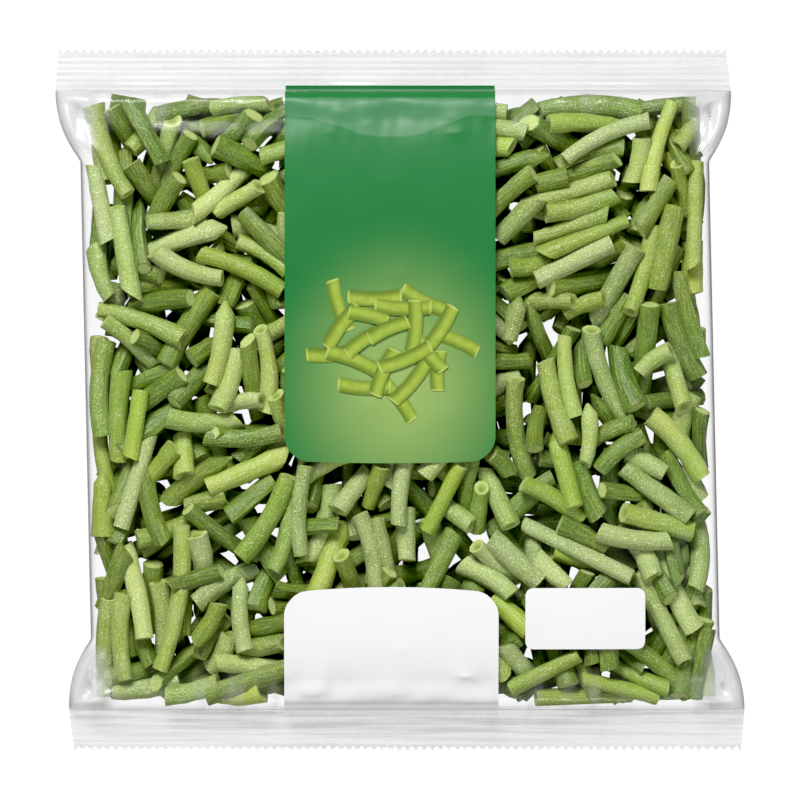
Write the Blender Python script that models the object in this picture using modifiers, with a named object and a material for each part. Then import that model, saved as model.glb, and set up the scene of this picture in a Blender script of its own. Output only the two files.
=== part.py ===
"""A clear pillow bag of frozen cut green beans, lying on its back: 260 mm wide laid flat and 270 mm long.

The bag is one piece of film, crimped shut at both ends. The beans inside are frozen together in clumps, and
each clump is one body. Metres, +Z up, +Y towards the top seal, origin under the middle of the bag.
"""

from math import copysign, hypot, pi, radians, sin

import bmesh
import bpy
import numpy as np
from mathutils import Matrix, Vector

MM = 0.001

# The film
LAY_FLAT_WIDTH = 0.260
BAG_LENGTH = 0.270
BODY_WIDTH = 0.2416
BODY_LENGTH = 0.238
FILM_THICKNESS = 0.0006
SEAL_THICKNESS = 0.0014
SEAL_HEIGHT = 0.013
CROWN_HEIGHT = 0.021
SKEW = -0.022
EAR_LENGTH = 0.020
TOOTH_PITCH = 0.00325
TOOTH_DEPTH = 0.0018
VENT_DIAMETER = 0.0016
VENT_SPACING = 0.018
GRID_CELLS = 18

# The beans
BEAN_RADIUS = (0.0031, 0.0041)
BEAN_LENGTH = (0.019, 0.036)
BEAN_BULGE_SHARE = 0.075
STRAIGHT_BELOW = 0.0008
WALL_GAP = 0.0019
SINK = 0.0014
CLUMP_GAP = 0.00035
# A six-sided bean is this much wider across its corners than the round one that it stands for
CORNER_SHARE = 1.08
FLAT_SHARE = 0.93
HIDDEN_FACE_BEANS = 46
BACK_BEANS = 104
SIDE_BEANS = 16
CLUMP_SIZE = 7
MOST_CLUMPS = 55
SETTLING_ROUNDS = 300
CLEARING_ROUNDS = 600
SEED = 7

# Beans that lie right under the face, as they show: middle x and y and length in mm, heading in degrees
FACE_BEANS = [
    (-112, 97, 38, 111), (-100, 104, 20, 81), (-82, 112, 26, 2), (-57, 113, 22, 3), (-92, 90, 35, 73),
    (-67, 82, 32, 46), (-61, 76, 20, 39), (-87, 68, 22, 173), (-81, 61, 32, 15), (-81, 51, 28, 160),
    (-60, 49, 34, 157), (-52, 56, 24, 147), (-116, 75, 30, 100), (-115, 49, 20, 94), (-106, 57, 34, 99),
    (-99, 29, 36, 163), (-103, 21, 28, 139), (-70, 23, 32, 80), (-50, 11, 32, 104), (-66, 7, 24, 50),
    (-61, 0, 17, 9), (-76, -8, 27, 173), (-81, -20, 17, 94), (-102, -9, 26, 84), (-115, 5, 37, 89),
    (-92, -27, 20, 63), (-103, -32, 35, 70), (-59, -15, 30, 16), (-57, -26, 31, 24), (-74, -39, 17, 6),
    (-115, -40, 25, 90), (-52, -45, 36, 62), (-92, -49, 26, 13), (-88, -78, 56, 82), (-76, -60, 24, 108),
    (-101, -73, 37, 110), (-114, -96, 39, 88), (-106, -91, 33, 88), (-68, -70, 24, 41), (-73, -86, 16, 64),
    (-60, -81, 28, 89), (-98, -110, 26, 15), (-52, -95, 20, 14), (-57, -104, 27, 176), (-81, -112, 21, 24),
    (-37, -42, 34, 88), (-18, -35, 20, 63), (0, -35, 26, 78), (16, -35, 30, 51), (-12, -58, 31, 107),
    (-28, -61, 30, 70), (16, -63, 25, 57), (43, -61, 25, 127), (38, -37, 25, 107), (-19, -67, 17, 110),
    (71, 113, 36, 0), (79, 100, 36, 24), (101, 98, 36, 70), (91, 92, 17, 79), (113, 103, 12, 8),
    (114, 72, 39, 85), (67, 79, 36, 8), (69, 74, 28, 9), (65, 67, 30, 20), (71, 63, 34, 22),
    (67, 53, 32, 32), (94, 49, 35, 86), (103, 58, 32, 85), (80, 44, 33, 77), (94, 73, 17, 45),
    (43, 67, 20, 38), (57, 38, 20, 4), (70, 36, 17, 37), (44, 31, 17, 79), (80, 9, 41, 116),
    (65, 10, 31, 94), (58, 0, 32, 106), (46, -11, 38, 97), (64, -27, 30, 110), (71, -13, 23, 77),
    (82, -14, 19, 24), (106, -18, 31, 131), (98, -35, 32, 140), (99, -47, 28, 169), (97, 15, 15, 38),
    (106, 9, 24, 105), (58, -39, 27, 146), (69, -57, 46, 157), (89, -52, 27, 176), (93, -62, 16, 125),
    (105, -72, 33, 114), (100, -85, 39, 122), (114, -60, 26, 94), (115, -100, 31, 94), (100, -103, 34, 147),
    (84, -110, 29, 160), (56, -105, 29, 33), (88, -104, 32, 157),
]

# Beans one layer further down, which the ones above partly cover
LOWER_FACE_BEANS = [
    (-78, 85, 18, 111), (-53, 64, 25, 163), (-108, -6, 34, 87), (-91, -84, 29, 94), (-68, -97, 17, 63),
    (-61, -114, 21, 175), (-30, -48, 32, 71), (-9, -33, 18, 82), (-5, -59, 31, 103), (2, -52, 19, 92),
    (13, -54, 16, 110), (37, -61, 22, 134), (32, -67, 22, 151), (31, -42, 17, 106), (-44, -52, 28, 78),
    (21, -45, 16, 132), (71, 106, 29, 2), (104, 112, 29, 3), (108, 90, 17, 125), (50, 52, 17, 15),
    (95, -23, 16, 156), (51, -57, 17, 112), (74, -63, 31, 155), (59, -67, 16, 141), (69, -115, 35, 0),
    (104, -113, 22, 177), (44, -84, 19, 132), (44, -99, 18, 145),
]


def swell(share, power):
    """How full the bag is at this share of the way from its middle to its rim: 1 in the middle, 0 at the rim."""
    return (1 - np.abs(np.clip(share, -1, 1)) ** power) ** (1 / power)


def film_top(x, y):
    across = (x - SKEW * y) / (BODY_WIDTH / 2)
    along = y / (BODY_LENGTH / 2)
    return SEAL_HEIGHT + CROWN_HEIGHT * swell(across, 4) * swell(along, 5)


def film_bottom(x, y):
    """The back lies flat on the table, apart from a band round the rim that lifts to the seals."""
    across = (x - SKEW * y) / (BODY_WIDTH / 2)
    along = y / (BODY_LENGTH / 2)
    flattened = np.minimum(1, 1.15 * swell(across, 5) * swell(along, 5))
    return SEAL_HEIGHT * (1 - flattened)


def slope(surface, x, y):
    """How much longer the surface is than its plan there."""
    step = 0.5 * MM
    rise_x = (surface(x + step, y) - surface(x - step, y)) / (2 * step)
    rise_y = (surface(x, y + step) - surface(x, y - step)) / (2 * step)
    return np.minimum(2.2, np.sqrt(1 + rise_x**2 + rise_y**2))


def kept_inside(points, radius):
    """These points, moved so that a bean of that radius round them clears the film."""
    clear = radius + WALL_GAP
    y = np.clip(points[:, 1], clear - BODY_LENGTH / 2, BODY_LENGTH / 2 - clear)
    lean = SKEW * y
    x = lean + np.clip(points[:, 0] - lean, clear - BODY_WIDTH / 2, BODY_WIDTH / 2 - clear)
    ceiling = film_top(x, y) - clear * slope(film_top, x, y)
    floor = film_bottom(x, y) + clear * slope(film_bottom, x, y)
    squeezed = ceiling < floor
    middle = (ceiling + floor) / 2
    z = np.where(squeezed, middle, np.clip(points[:, 2], floor, np.maximum(floor, ceiling)))
    inward = np.where(squeezed, 0.99, 1.0)
    return np.stack([x * inward, y * inward, z], axis=1)


class Beans:
    """Places of many bent beans: middle, axis, side to which each bulges, length, radius and bulge."""

    def __init__(self, rows):
        table = np.array(rows, float)
        self.middle = table[:, 0:3].copy()
        heading = table[:, 3]
        self.axis = np.stack([np.cos(heading), np.sin(heading), table[:, 4]], axis=1)
        self.side = np.stack([-np.sin(heading), np.cos(heading), table[:, 5]], axis=1)
        self.length, self.radius = table[:, 6], table[:, 7]
        self.bulge = np.where(np.abs(table[:, 8]) < STRAIGHT_BELOW, 0, table[:, 8])
        self.press, self.pinned = table[:, 9], table[:, 10] > 0
        self.home, self.heading = self.middle[:, :2].copy(), heading
        self.clump = np.arange(len(table))
        self.square_up()

    def square_up(self):
        """Axes of unit length, not too steep, with the side square to the axis."""
        steepest = 0.42
        self.axis[:, 2] = np.clip(self.axis[:, 2], -steepest, steepest)
        self.axis /= np.linalg.norm(self.axis, axis=1)[:, None]
        self.side -= (self.side * self.axis).sum(1)[:, None] * self.axis
        self.side /= np.linalg.norm(self.side, axis=1)[:, None]

    def knots(self):
        """The head, knee and tail of every bean's centreline."""
        reach = self.axis * (self.length / 2)[:, None]
        bow = self.side * self.bulge[:, None]
        return self.middle - reach - bow / 3, self.middle + bow * 2 / 3, self.middle + reach - bow / 3

    def halves(self, trim=0):
        """Both straight halves of every bean's centreline, from where and how far: trim radii less at a cut end."""
        head, knee, tail = self.knots()
        less = self.axis * (trim * self.radius)[:, None]
        head, tail = head + less, tail - less
        return np.concatenate([head, knee]), np.concatenate([knee - head, tail - knee])

    def hold_pins(self, strength):
        """Draws the beans that show on the face back to where they show."""
        pins = self.pinned
        self.middle[pins, :2] += strength * (self.home[pins] - self.middle[pins, :2])
        flat = np.stack([np.cos(self.heading), np.sin(self.heading)], axis=1)[pins]
        self.axis[pins, :2] += strength * (flat - self.axis[pins, :2])
        self.square_up()

    def keep_in_bag(self):
        for knot, away in zip(self.knots(), (-1, 0, 1)):
            shift = kept_inside(knot, self.radius) - knot
            self.middle += shift / 2
            self.axis += away * shift / self.length[:, None]
        self.square_up()


def nearest(a_start, a_run, b_start, b_run):
    """How far along two straight stretches they come nearest, for many pairs at once."""
    between = a_start - b_start
    aa, bb = (a_run * a_run).sum(1), (b_run * b_run).sum(1)
    ab = (a_run * b_run).sum(1)
    ar, br = (a_run * between).sum(1), (b_run * between).sum(1)
    spread = aa * bb - ab * ab
    crossing = spread > 1e-3 * aa * bb
    s = np.where(crossing, np.clip((ab * br - ar * bb) / np.where(crossing, spread, 1), 0, 1), 0.5)
    t = np.clip((ab * s + br) / bb, 0, 1)
    s = np.clip((ab * t - ar) / aa, 0, 1)
    return s, t


def near_halves(beans, within):
    """Pairs of bean halves whose surfaces may be nearer than this. Half k + count is the tail half of bean k."""
    start, run = beans.halves()
    owner = np.arange(len(start)) % len(beans.middle)
    centre = start + run / 2
    reach = np.linalg.norm(run, axis=1) / 2 + beans.radius[owner] + within / 2
    apart = np.linalg.norm(centre[:, None] - centre[None], axis=2)
    return np.nonzero((apart < reach[:, None] + reach[None]) & (owner[:, None] < owner[None]))


def touches(beans, pairs, trim=0):
    """Where each pair of halves comes nearest: beans, contact points, direction, and the gap between their skins.

    Trimmed by one radius, the round-ended halves lie wholly inside the real, flat-ended ones.
    """
    start, run = beans.halves(trim)
    i, j = pairs
    a, b = i % len(beans.middle), j % len(beans.middle)
    s, t = nearest(start[i], run[i], start[j], run[j])
    on_a, on_b = start[i] + s[:, None] * run[i], start[j] + t[:, None] * run[j]
    off = on_a - on_b
    gap = np.linalg.norm(off, axis=1) - beans.radius[a] - beans.radius[b]
    off += np.where(off[:, 2:] < 0, -1, 1) * np.array([0, 0, 0.6 * MM])
    return a, b, on_a, on_b, off / np.linalg.norm(off, axis=1)[:, None], gap


def spread_apart(beans, rounds, bonds=(), pin=0.2, press=0.12):
    """Moves beans until they only touch: those of two clumps come clear, and bonded ones stay sunk in each other."""
    ties = tuple(np.array(bonds, int).reshape(-1, 2).T)
    for turn in range(rounds):
        early = 1 - turn / rounds
        if turn % 8 == 0:
            near = near_halves(beans, 3 * MM)
        loose, tied = touches(beans, near), touches(beans, ties, 1)
        a, b, on_a, on_b, normal, gap = (np.concatenate(pair) for pair in zip(loose, tied))
        is_tied = np.arange(len(a)) >= len(near[0])
        strangers = (beans.clump[a] != beans.clump[b]) & (len(bonds) > 0)
        spare = (CORNER_SHARE - 1) * (beans.radius[a] + beans.radius[b]) + CLUMP_GAP + 0.15 * MM
        push = np.where(strangers, spare, -SINK) - gap
        acting = (push > 0) | is_tied
        a, b, on_a, on_b, push, normal = (v[acting] for v in (a, b, on_a, on_b, push, normal))
        arm_a, arm_b = on_a - beans.middle[a], on_b - beans.middle[b]
        turn_a, turn_b = np.cross(arm_a, normal), np.cross(arm_b, normal)
        ease_a, ease_b = 12 / beans.length[a] ** 2, 12 / beans.length[b] ** 2
        give = 2 + ease_a * (turn_a**2).sum(1) + ease_b * (turn_b**2).sum(1)
        share = (0.5 * push / give)[:, None]
        slide, swing = np.zeros_like(beans.middle), np.zeros_like(beans.middle)
        np.add.at(slide, a, share * normal)
        np.add.at(slide, b, -share * normal)
        np.add.at(swing, a, share * turn_a * ease_a[:, None])
        np.add.at(swing, b, -share * turn_b * ease_b[:, None])
        beans.middle += slide
        beans.middle[:, 2] += beans.press * early * press * MM
        beans.axis += np.cross(swing, beans.axis)
        beans.side += np.cross(swing, beans.side)
        beans.hold_pins(pin * early)
        beans.keep_in_bag()


def wall_heading(x, y, rng):
    """A free heading, but along the wall for a bean that lies against one."""
    band = 11 * MM
    by_side = BODY_WIDTH / 2 - abs(x) < band
    by_end = BODY_LENGTH / 2 - abs(y) < band
    free = rng.uniform(0, pi)
    if by_side:
        return pi / 2 + rng.normal(0, 0.12)
    return rng.normal(0, 0.15) if by_end else free


def drawn_bean(x, y, z, press, rng):
    """A bean at this place, with the rest of it drawn at random."""
    heading = wall_heading(x, y, rng)
    length = rng.uniform(*BEAN_LENGTH) if rng.random() > 0.15 else rng.uniform(0.010, 0.019)
    radius = rng.uniform(*BEAN_RADIUS)
    bulge = rng.uniform(0, BEAN_BULGE_SHARE) * length
    tilt, roll = rng.normal(0, 0.08), rng.normal(0, 0.5)
    return (x, y, z, heading, tilt, roll, length, radius, bulge, press, 0)


def face_bean(row, depth, rng):
    """A bean that shows on the face: its place and size are given, and its bulge is drawn."""
    x, y, length = (value * MM for value in row[:3])
    radius = rng.uniform(*BEAN_RADIUS)
    bulge = rng.uniform(-BEAN_BULGE_SHARE, BEAN_BULGE_SHARE) * length
    z = film_top(x, y) - WALL_GAP - radius * (1 + depth * 2)
    return (x, y, z, radians(row[3]), 0, 0, length, radius, bulge, 1 - 0.7 * depth, 1)


def scattered(count, accept, rng):
    """Points spread evenly over the bag's plan, each the farthest of a few draws from those before it."""
    points = []
    while len(points) < count:
        draws = rng.uniform(-1, 1, (12, 2)) * (BODY_WIDTH / 2 - 5 * MM, BODY_LENGTH / 2 - 5 * MM)
        draws = [p for p in draws if accept(*p)]
        if draws:
            spans = [min([hypot(*(p - q)) for q in points] or [1]) for p in draws]
            points.append(draws[int(np.argmax(spans))])
    return points


def under_print(x, y):
    """Under the two printed panels, where the beans don't show."""
    return abs(x + 4 * MM) < 40 * MM and (y > -20 * MM or y < -76 * MM)


def outer_beans(rng):
    """The beans against the film: those of the face, then the ones under the print, on the back and by the sides."""
    rows = [face_bean(row, 0, rng) for row in FACE_BEANS] + [face_bean(row, 1, rng) for row in LOWER_FACE_BEANS]
    for x, y in scattered(HIDDEN_FACE_BEANS, under_print, rng):
        rows.append(drawn_bean(x, y, film_top(x, y) - 6 * MM, 1, rng))
    for x, y in scattered(BACK_BEANS, lambda x, y: True, rng):
        rows.append(drawn_bean(x, y, film_bottom(x, y) + 6 * MM, -1, rng))
    for number in range(SIDE_BEANS):
        side = 1 if number % 2 else -1
        y = (number / (SIDE_BEANS - 1) - 0.5) * 0.92 * BODY_LENGTH
        rows.append(drawn_bean(side * 0.97 * BODY_WIDTH / 2, y, 17 * MM, 0, rng))
    return Beans(rows)


def gathered(beans):
    """Puts every bean in a clump with those it lies against, and returns the pairs of halves that hold clumps together."""
    halves = near_halves(beans, 12 * MM)
    a, b, _, _, _, gap = touches(beans, halves, 1)
    order = np.argsort(gap, kind="stable")
    beans.clump = np.arange(len(beans.middle))
    size = np.ones(len(beans.middle), int)
    bonds = []
    for small, most, widest in ((CLUMP_SIZE, CLUMP_SIZE, 2 * MM), (1, CLUMP_SIZE + 1, 6 * MM), (3, 12, 6 * MM)):
        for k in order:
            one, other = beans.clump[a[k]], beans.clump[b[k]]
            together = size[one] + size[other]
            if one == other or together > most or gap[k] > widest or min(size[one], size[other]) > small:
                continue
            if small < CLUMP_SIZE and len(np.unique(beans.clump)) <= MOST_CLUMPS:
                break
            beans.clump[beans.clump == other] = one
            size[one] = together
            bonds.append((halves[0][k], halves[1][k]))
    return bonds


def sound_beans(beans):
    """The beans that are clear of every other clump and fused with their own, as {clump: [bean, ...]}."""
    kept = np.ones(len(beans.middle), bool)
    near = near_halves(beans, 3 * MM)
    a, b, _, _, _, gap = touches(beans, near)
    radii = beans.radius[a] + beans.radius[b]
    strangers = beans.clump[a] != beans.clump[b]
    for k in np.nonzero(strangers & (gap < (CORNER_SHARE - 1) * radii + 0.15 * MM))[0]:
        if kept[a[k]] and kept[b[k]]:
            kept[b[k]] = False
    gap = touches(beans, near, 1)[5]
    fused = ~strangers & (gap < (FLAT_SHARE - 1) * radii - 0.2 * MM)
    ties = [(i, j) for i, j in zip(a[fused], b[fused]) if kept[i] and kept[j]]
    groups = {}
    for clump in np.unique(beans.clump[kept]):
        members = set(np.nonzero(kept & (beans.clump == clump))[0])
        best = []
        while members:
            group, edge = [], [min(members)]
            while edge:
                bean = edge.pop()
                if bean in members:
                    members.discard(bean)
                    group.append(int(bean))
                    edge += [j for i, j in ties if i == bean] + [i for i, j in ties if j == bean]
            best = max(best, group, key=len)
        groups[int(clump)] = sorted(best)
    return groups


def material(name, colour, roughness, alpha=1.0):
    made = bpy.data.materials.new(name)
    made.use_nodes = True
    shader = made.node_tree.nodes["Principled BSDF"]
    shader.inputs["Base Color"].default_value = (*colour, 1)
    shader.inputs["Roughness"].default_value = roughness
    shader.inputs["Alpha"].default_value = alpha
    made.diffuse_color = (*colour, alpha)
    return made


def new_object(name, mesh, collection, finish=None):
    made = bpy.data.objects.new(name, mesh)
    collection.objects.link(made)
    if finish:
        made.data.materials.append(finish)
    return made


def mesh_of(curve_object):
    """A curve made a closed mesh: its caps are welded on and the curve is removed."""
    bpy.context.view_layer.update()
    evaluated = curve_object.evaluated_get(bpy.context.evaluated_depsgraph_get())
    mesh = bpy.data.meshes.new_from_object(evaluated)
    mesh.transform(curve_object.matrix_world)
    bm = bmesh.new()
    bm.from_mesh(mesh)
    bmesh.ops.remove_doubles(bm, verts=bm.verts, dist=0.00001)
    bm.to_mesh(mesh)
    bm.free()
    bpy.data.objects.remove(curve_object)
    return mesh


def joined(target, collection, operation, solver):
    """Applies one Boolean with every object of a collection, and removes those objects."""
    modifier = target.modifiers.new(operation.lower(), "BOOLEAN")
    modifier.operation = operation
    modifier.operand_type = "COLLECTION"
    modifier.collection = collection
    modifier.solver = solver
    bpy.context.view_layer.update()
    evaluated = target.evaluated_get(bpy.context.evaluated_depsgraph_get())
    mesh = bpy.data.meshes.new_from_object(evaluated)
    target.modifiers.clear()
    target.data = mesh
    for operand in list(collection.objects):
        bpy.data.objects.remove(operand)
    bpy.data.collections.remove(collection)
    return target


def hidden_collection(name):
    made = bpy.data.collections.new(name)
    made.hide_render = True
    bpy.context.scene.collection.children.link(made)
    return made


def pillow_mesh():
    """The filled body of the bag as a closed surface: a grid over the top and one under the bottom, joined at the rim."""
    bm = bmesh.new()
    turns = [pi / 2 * (2 * k / GRID_CELLS - 1) for k in range(GRID_CELLS + 1)]
    stops = [copysign(abs(sin(turn)) ** (2 / 4.5), turn) for turn in turns]
    rows = {}
    for surface in (film_top, film_bottom):
        for j, along in enumerate(stops):
            for i, across in enumerate(stops):
                rim = i in (0, GRID_CELLS) or j in (0, GRID_CELLS)
                if rim and surface is film_bottom:
                    rows[surface, i, j] = rows[film_top, i, j]
                    continue
                y = along * BODY_LENGTH / 2
                x = across * BODY_WIDTH / 2 + SKEW * y
                z = SEAL_HEIGHT if rim else float(surface(x, y))
                rows[surface, i, j] = bm.verts.new((x, y, z))
    last = GRID_CELLS - 1
    for surface in (film_top, film_bottom):
        for j in range(GRID_CELLS):
            for i in range(GRID_CELLS):
                ring = [rows[surface, i + di, j + dj] for di, dj in ((0, 0), (1, 0), (1, 1), (0, 1))]
                ring = ring if surface is film_top else ring[::-1]
                if i in (0, last) and j in (0, last):
                    # A corner cell is split from the bag's corner inward, so that no part of it lies in the rim's plane
                    corner = rows[film_top, i and i + 1, j and j + 1]
                    turn = ring.index(corner)
                    ring = ring[turn:] + ring[:turn]
                    bm.faces.new(ring[:3])
                    bm.faces.new([ring[0], ring[2], ring[3]])
                else:
                    bm.faces.new(ring)
    mesh = bpy.data.meshes.new("pillow")
    bm.to_mesh(mesh)
    bm.free()
    return mesh


def seal_outline(end):
    """The flat welded end of the bag and its two ears, for the top (1) or bottom (-1) end.

    It runs from the body's side wall out along the ear to the cut end, across the teeth, and back.
    """
    inset = FILM_THICKNESS / 2
    right = []
    steps = 6
    for k in range(steps + 1):
        share = 1 - k / steps
        widened = LAY_FLAT_WIDTH / 2 - (LAY_FLAT_WIDTH - BODY_WIDTH) / 2 * share**2
        right.append((widened, BODY_LENGTH / 2 - EAR_LENGTH * share))
    right[0] = (BODY_WIDTH / 2 - inset, right[0][1])
    cut = BAG_LENGTH / 2
    teeth = round(LAY_FLAT_WIDTH / TOOTH_PITCH)
    zigzag = []
    for k in range(2 * teeth + 1):
        x = LAY_FLAT_WIDTH / 2 - k * LAY_FLAT_WIDTH / (2 * teeth)
        zigzag.append((x * 0.99, cut - TOOTH_DEPTH * (k % 2)))
    left = [(-x, y) for x, y in reversed(right)]
    inner = [(inset - BODY_WIDTH / 2, BODY_LENGTH / 2 - inset), (BODY_WIDTH / 2 - inset, BODY_LENGTH / 2 - inset)]
    outline = right + zigzag + left + inner
    return [(x + SKEW * end * y, end * y) for x, y in outline]


def seal_plate(name, end, collection):
    curve = bpy.data.curves.new(name, "CURVE")
    curve.dimensions = "2D"
    curve.fill_mode = "BOTH"
    curve.extrude = SEAL_THICKNESS / 2
    points = seal_outline(end)
    spline = curve.splines.new("POLY")
    spline.points.add(len(points) - 1)
    for point, (x, y) in zip(spline.points, points):
        point.co = (x, y, 0, 1)
    spline.use_cyclic_u = True
    plate = new_object(name, curve, collection)
    plate.location.z = SEAL_HEIGHT
    bpy.context.view_layer.update()
    return new_object(name, mesh_of(plate), collection)


def bag_film(collection):
    """The bag: a thin pillow with vents pricked in its back, and a welded flat end at the top and the bottom."""
    film = new_object("bag_film", pillow_mesh(), collection, material("film", (0.86, 0.88, 0.88), 0.15, 0.3))
    wall = film.modifiers.new("wall", "SOLIDIFY")
    wall.thickness = FILM_THICKNESS
    wall.offset = -1
    wall.use_even_offset = True
    wall.use_quality_normals = True
    cutters = hidden_collection("vent_cutters")
    for number in (-1, 0, 1):
        bm = bmesh.new()
        bmesh.ops.create_cone(
            bm,
            cap_ends=True,
            segments=12,
            radius1=VENT_DIAMETER / 2,
            radius2=VENT_DIAMETER / 2,
            depth=6 * FILM_THICKNESS,
            matrix=Matrix.Translation((number * VENT_SPACING, 0.06, 0)),
        )
        mesh = bpy.data.meshes.new("vent")
        bm.to_mesh(mesh)
        bm.free()
        new_object("vent", mesh, cutters)
    joined(film, cutters, "DIFFERENCE", "EXACT")
    plates = hidden_collection("seal_plates")
    for name, end in (("top_seal", 1), ("bottom_seal", -1)):
        seal_plate(name, end, plates)
    return joined(film, plates, "UNION", "EXACT")


def bean_curve(beans, number):
    """One cut bean: a six-sided tube along its centreline with flat ends."""
    knots = [Vector(knot[number]) for knot in beans.knots()]
    if beans.bulge[number] == 0:
        knots = [knots[0], knots[2]]
    curve = bpy.data.curves.new("bean", "CURVE")
    curve.dimensions = "3D"
    curve.bevel_depth = float(beans.radius[number]) * CORNER_SHARE
    curve.bevel_resolution = 1
    curve.use_fill_caps = True
    spline = curve.splines.new("POLY")
    spline.points.add(len(knots) - 1)
    for point, knot in zip(spline.points, knots):
        point.co = (*knot, 1)
    return curve


def bean_clump(name, beans, members, collection, finish):
    """Beans frozen together: each is made alone, and one Boolean union makes them a single body."""
    stock = hidden_collection(name + "_beans")
    for number in members:
        curve = new_object("bean", bean_curve(beans, number), stock)
        new_object("bean", mesh_of(curve), stock)
    first = stock.objects[0]
    stock.objects.unlink(first)
    collection.objects.link(first)
    first.name = name
    first.data.materials.clear()
    first.data.materials.append(finish)
    return joined(first, stock, "UNION", "MANIFOLD") if len(members) > 1 else first


def main():
    for obj in list(bpy.data.objects):
        bpy.data.objects.remove(obj)
    rng = np.random.default_rng(SEED)
    collection = bpy.data.collections.new("bag_of_cut_green_beans")
    bpy.context.scene.collection.children.link(collection)
    bag_film(collection)
    beans = outer_beans(rng)
    spread_apart(beans, SETTLING_ROUNDS)
    bonds = gathered(beans)
    spread_apart(beans, CLEARING_ROUNDS, bonds, pin=0.05, press=0.02)
    groups = sound_beans(beans)
    greens = [
        material("bean_green", (0.20, 0.33, 0.07), 0.6),
        material("bean_light_green", (0.30, 0.42, 0.10), 0.6),
        material("bean_dark_green", (0.13, 0.24, 0.06), 0.6),
    ]
    for number, members in enumerate(groups.values(), 1):
        bean_clump(f"bean_clump_{number:02d}", beans, members, collection, greens[number % 3])
    print(len(beans.middle), "beans placed,", sum(map(len, groups.values())), "kept in", len(groups), "clumps")


main()
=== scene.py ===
# %% [markdown]
# # A clear bag of frozen cut green beans
#
# The real thing is a tube of clear film, filled with beans, crimped flat at both ends and cut off with a
# toothed knife. It lies on its back and we look straight down on the printed face. The solids of the part
# are already packed as a frame: one node for the film and one for each clump of beans. This lesson keeps
# their places and dresses them: finer beans, the beans in the middle that the solids leave out, a film
# that hangs taut over the beans, its weld, and its print.

# %% Load the frame
from math import copysign, cos, hypot, pi, radians, sin, sqrt

import bmesh
import bpy
import numpy as np
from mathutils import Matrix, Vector


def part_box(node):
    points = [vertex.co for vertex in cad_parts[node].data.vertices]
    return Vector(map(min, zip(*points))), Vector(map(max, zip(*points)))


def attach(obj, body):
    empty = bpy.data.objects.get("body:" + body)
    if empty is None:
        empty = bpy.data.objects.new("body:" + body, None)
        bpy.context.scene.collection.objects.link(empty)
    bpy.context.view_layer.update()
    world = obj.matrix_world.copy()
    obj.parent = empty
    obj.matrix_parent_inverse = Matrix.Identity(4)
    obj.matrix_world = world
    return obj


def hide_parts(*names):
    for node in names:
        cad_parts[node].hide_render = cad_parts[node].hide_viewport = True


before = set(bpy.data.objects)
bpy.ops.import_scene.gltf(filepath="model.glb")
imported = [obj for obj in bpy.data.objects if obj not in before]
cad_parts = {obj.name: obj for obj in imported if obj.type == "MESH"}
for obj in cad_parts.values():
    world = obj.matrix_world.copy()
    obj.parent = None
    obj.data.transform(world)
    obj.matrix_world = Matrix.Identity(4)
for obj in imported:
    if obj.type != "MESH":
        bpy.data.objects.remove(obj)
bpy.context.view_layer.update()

MM = 0.001
print("the frame has", len(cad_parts), "nodes")

# %% [markdown]
# ## The shape of a filled bag
#
# A pillow bag is a tube that is pressed flat at both ends, so it is fullest in its middle and thins out
# towards the seals. One small function says how full it is at any share of the way to its rim. The face
# is domed, and the back lies flat on the table.

# %% Sizes of the bag and of its beans
# The film
LAY_FLAT_WIDTH = 0.260
BAG_LENGTH = 0.270
BODY_WIDTH = 0.2416
BODY_LENGTH = 0.238
SEAL_HEIGHT = 0.013
CROWN_HEIGHT = 0.021
SKEW = -0.022
TOOTH_DEPTH = 0.0018

# The beans
BEAN_RADIUS = (0.0031, 0.0041)
BEAN_LENGTH = (0.019, 0.036)
BEAN_BULGE_SHARE = 0.075
STRAIGHT_BELOW = 0.0008
WALL_GAP = 0.0019
SINK = 0.0014
CLUMP_GAP = 0.00035
# A six-sided bean is this much wider across its corners than the round one that it stands for
CORNER_SHARE = 1.08
FLAT_SHARE = 0.93
HIDDEN_FACE_BEANS = 46
BACK_BEANS = 104
SIDE_BEANS = 16
CLUMP_SIZE = 7
MOST_CLUMPS = 55
SETTLING_ROUNDS = 300
CLEARING_ROUNDS = 600
SEED = 7

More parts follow.
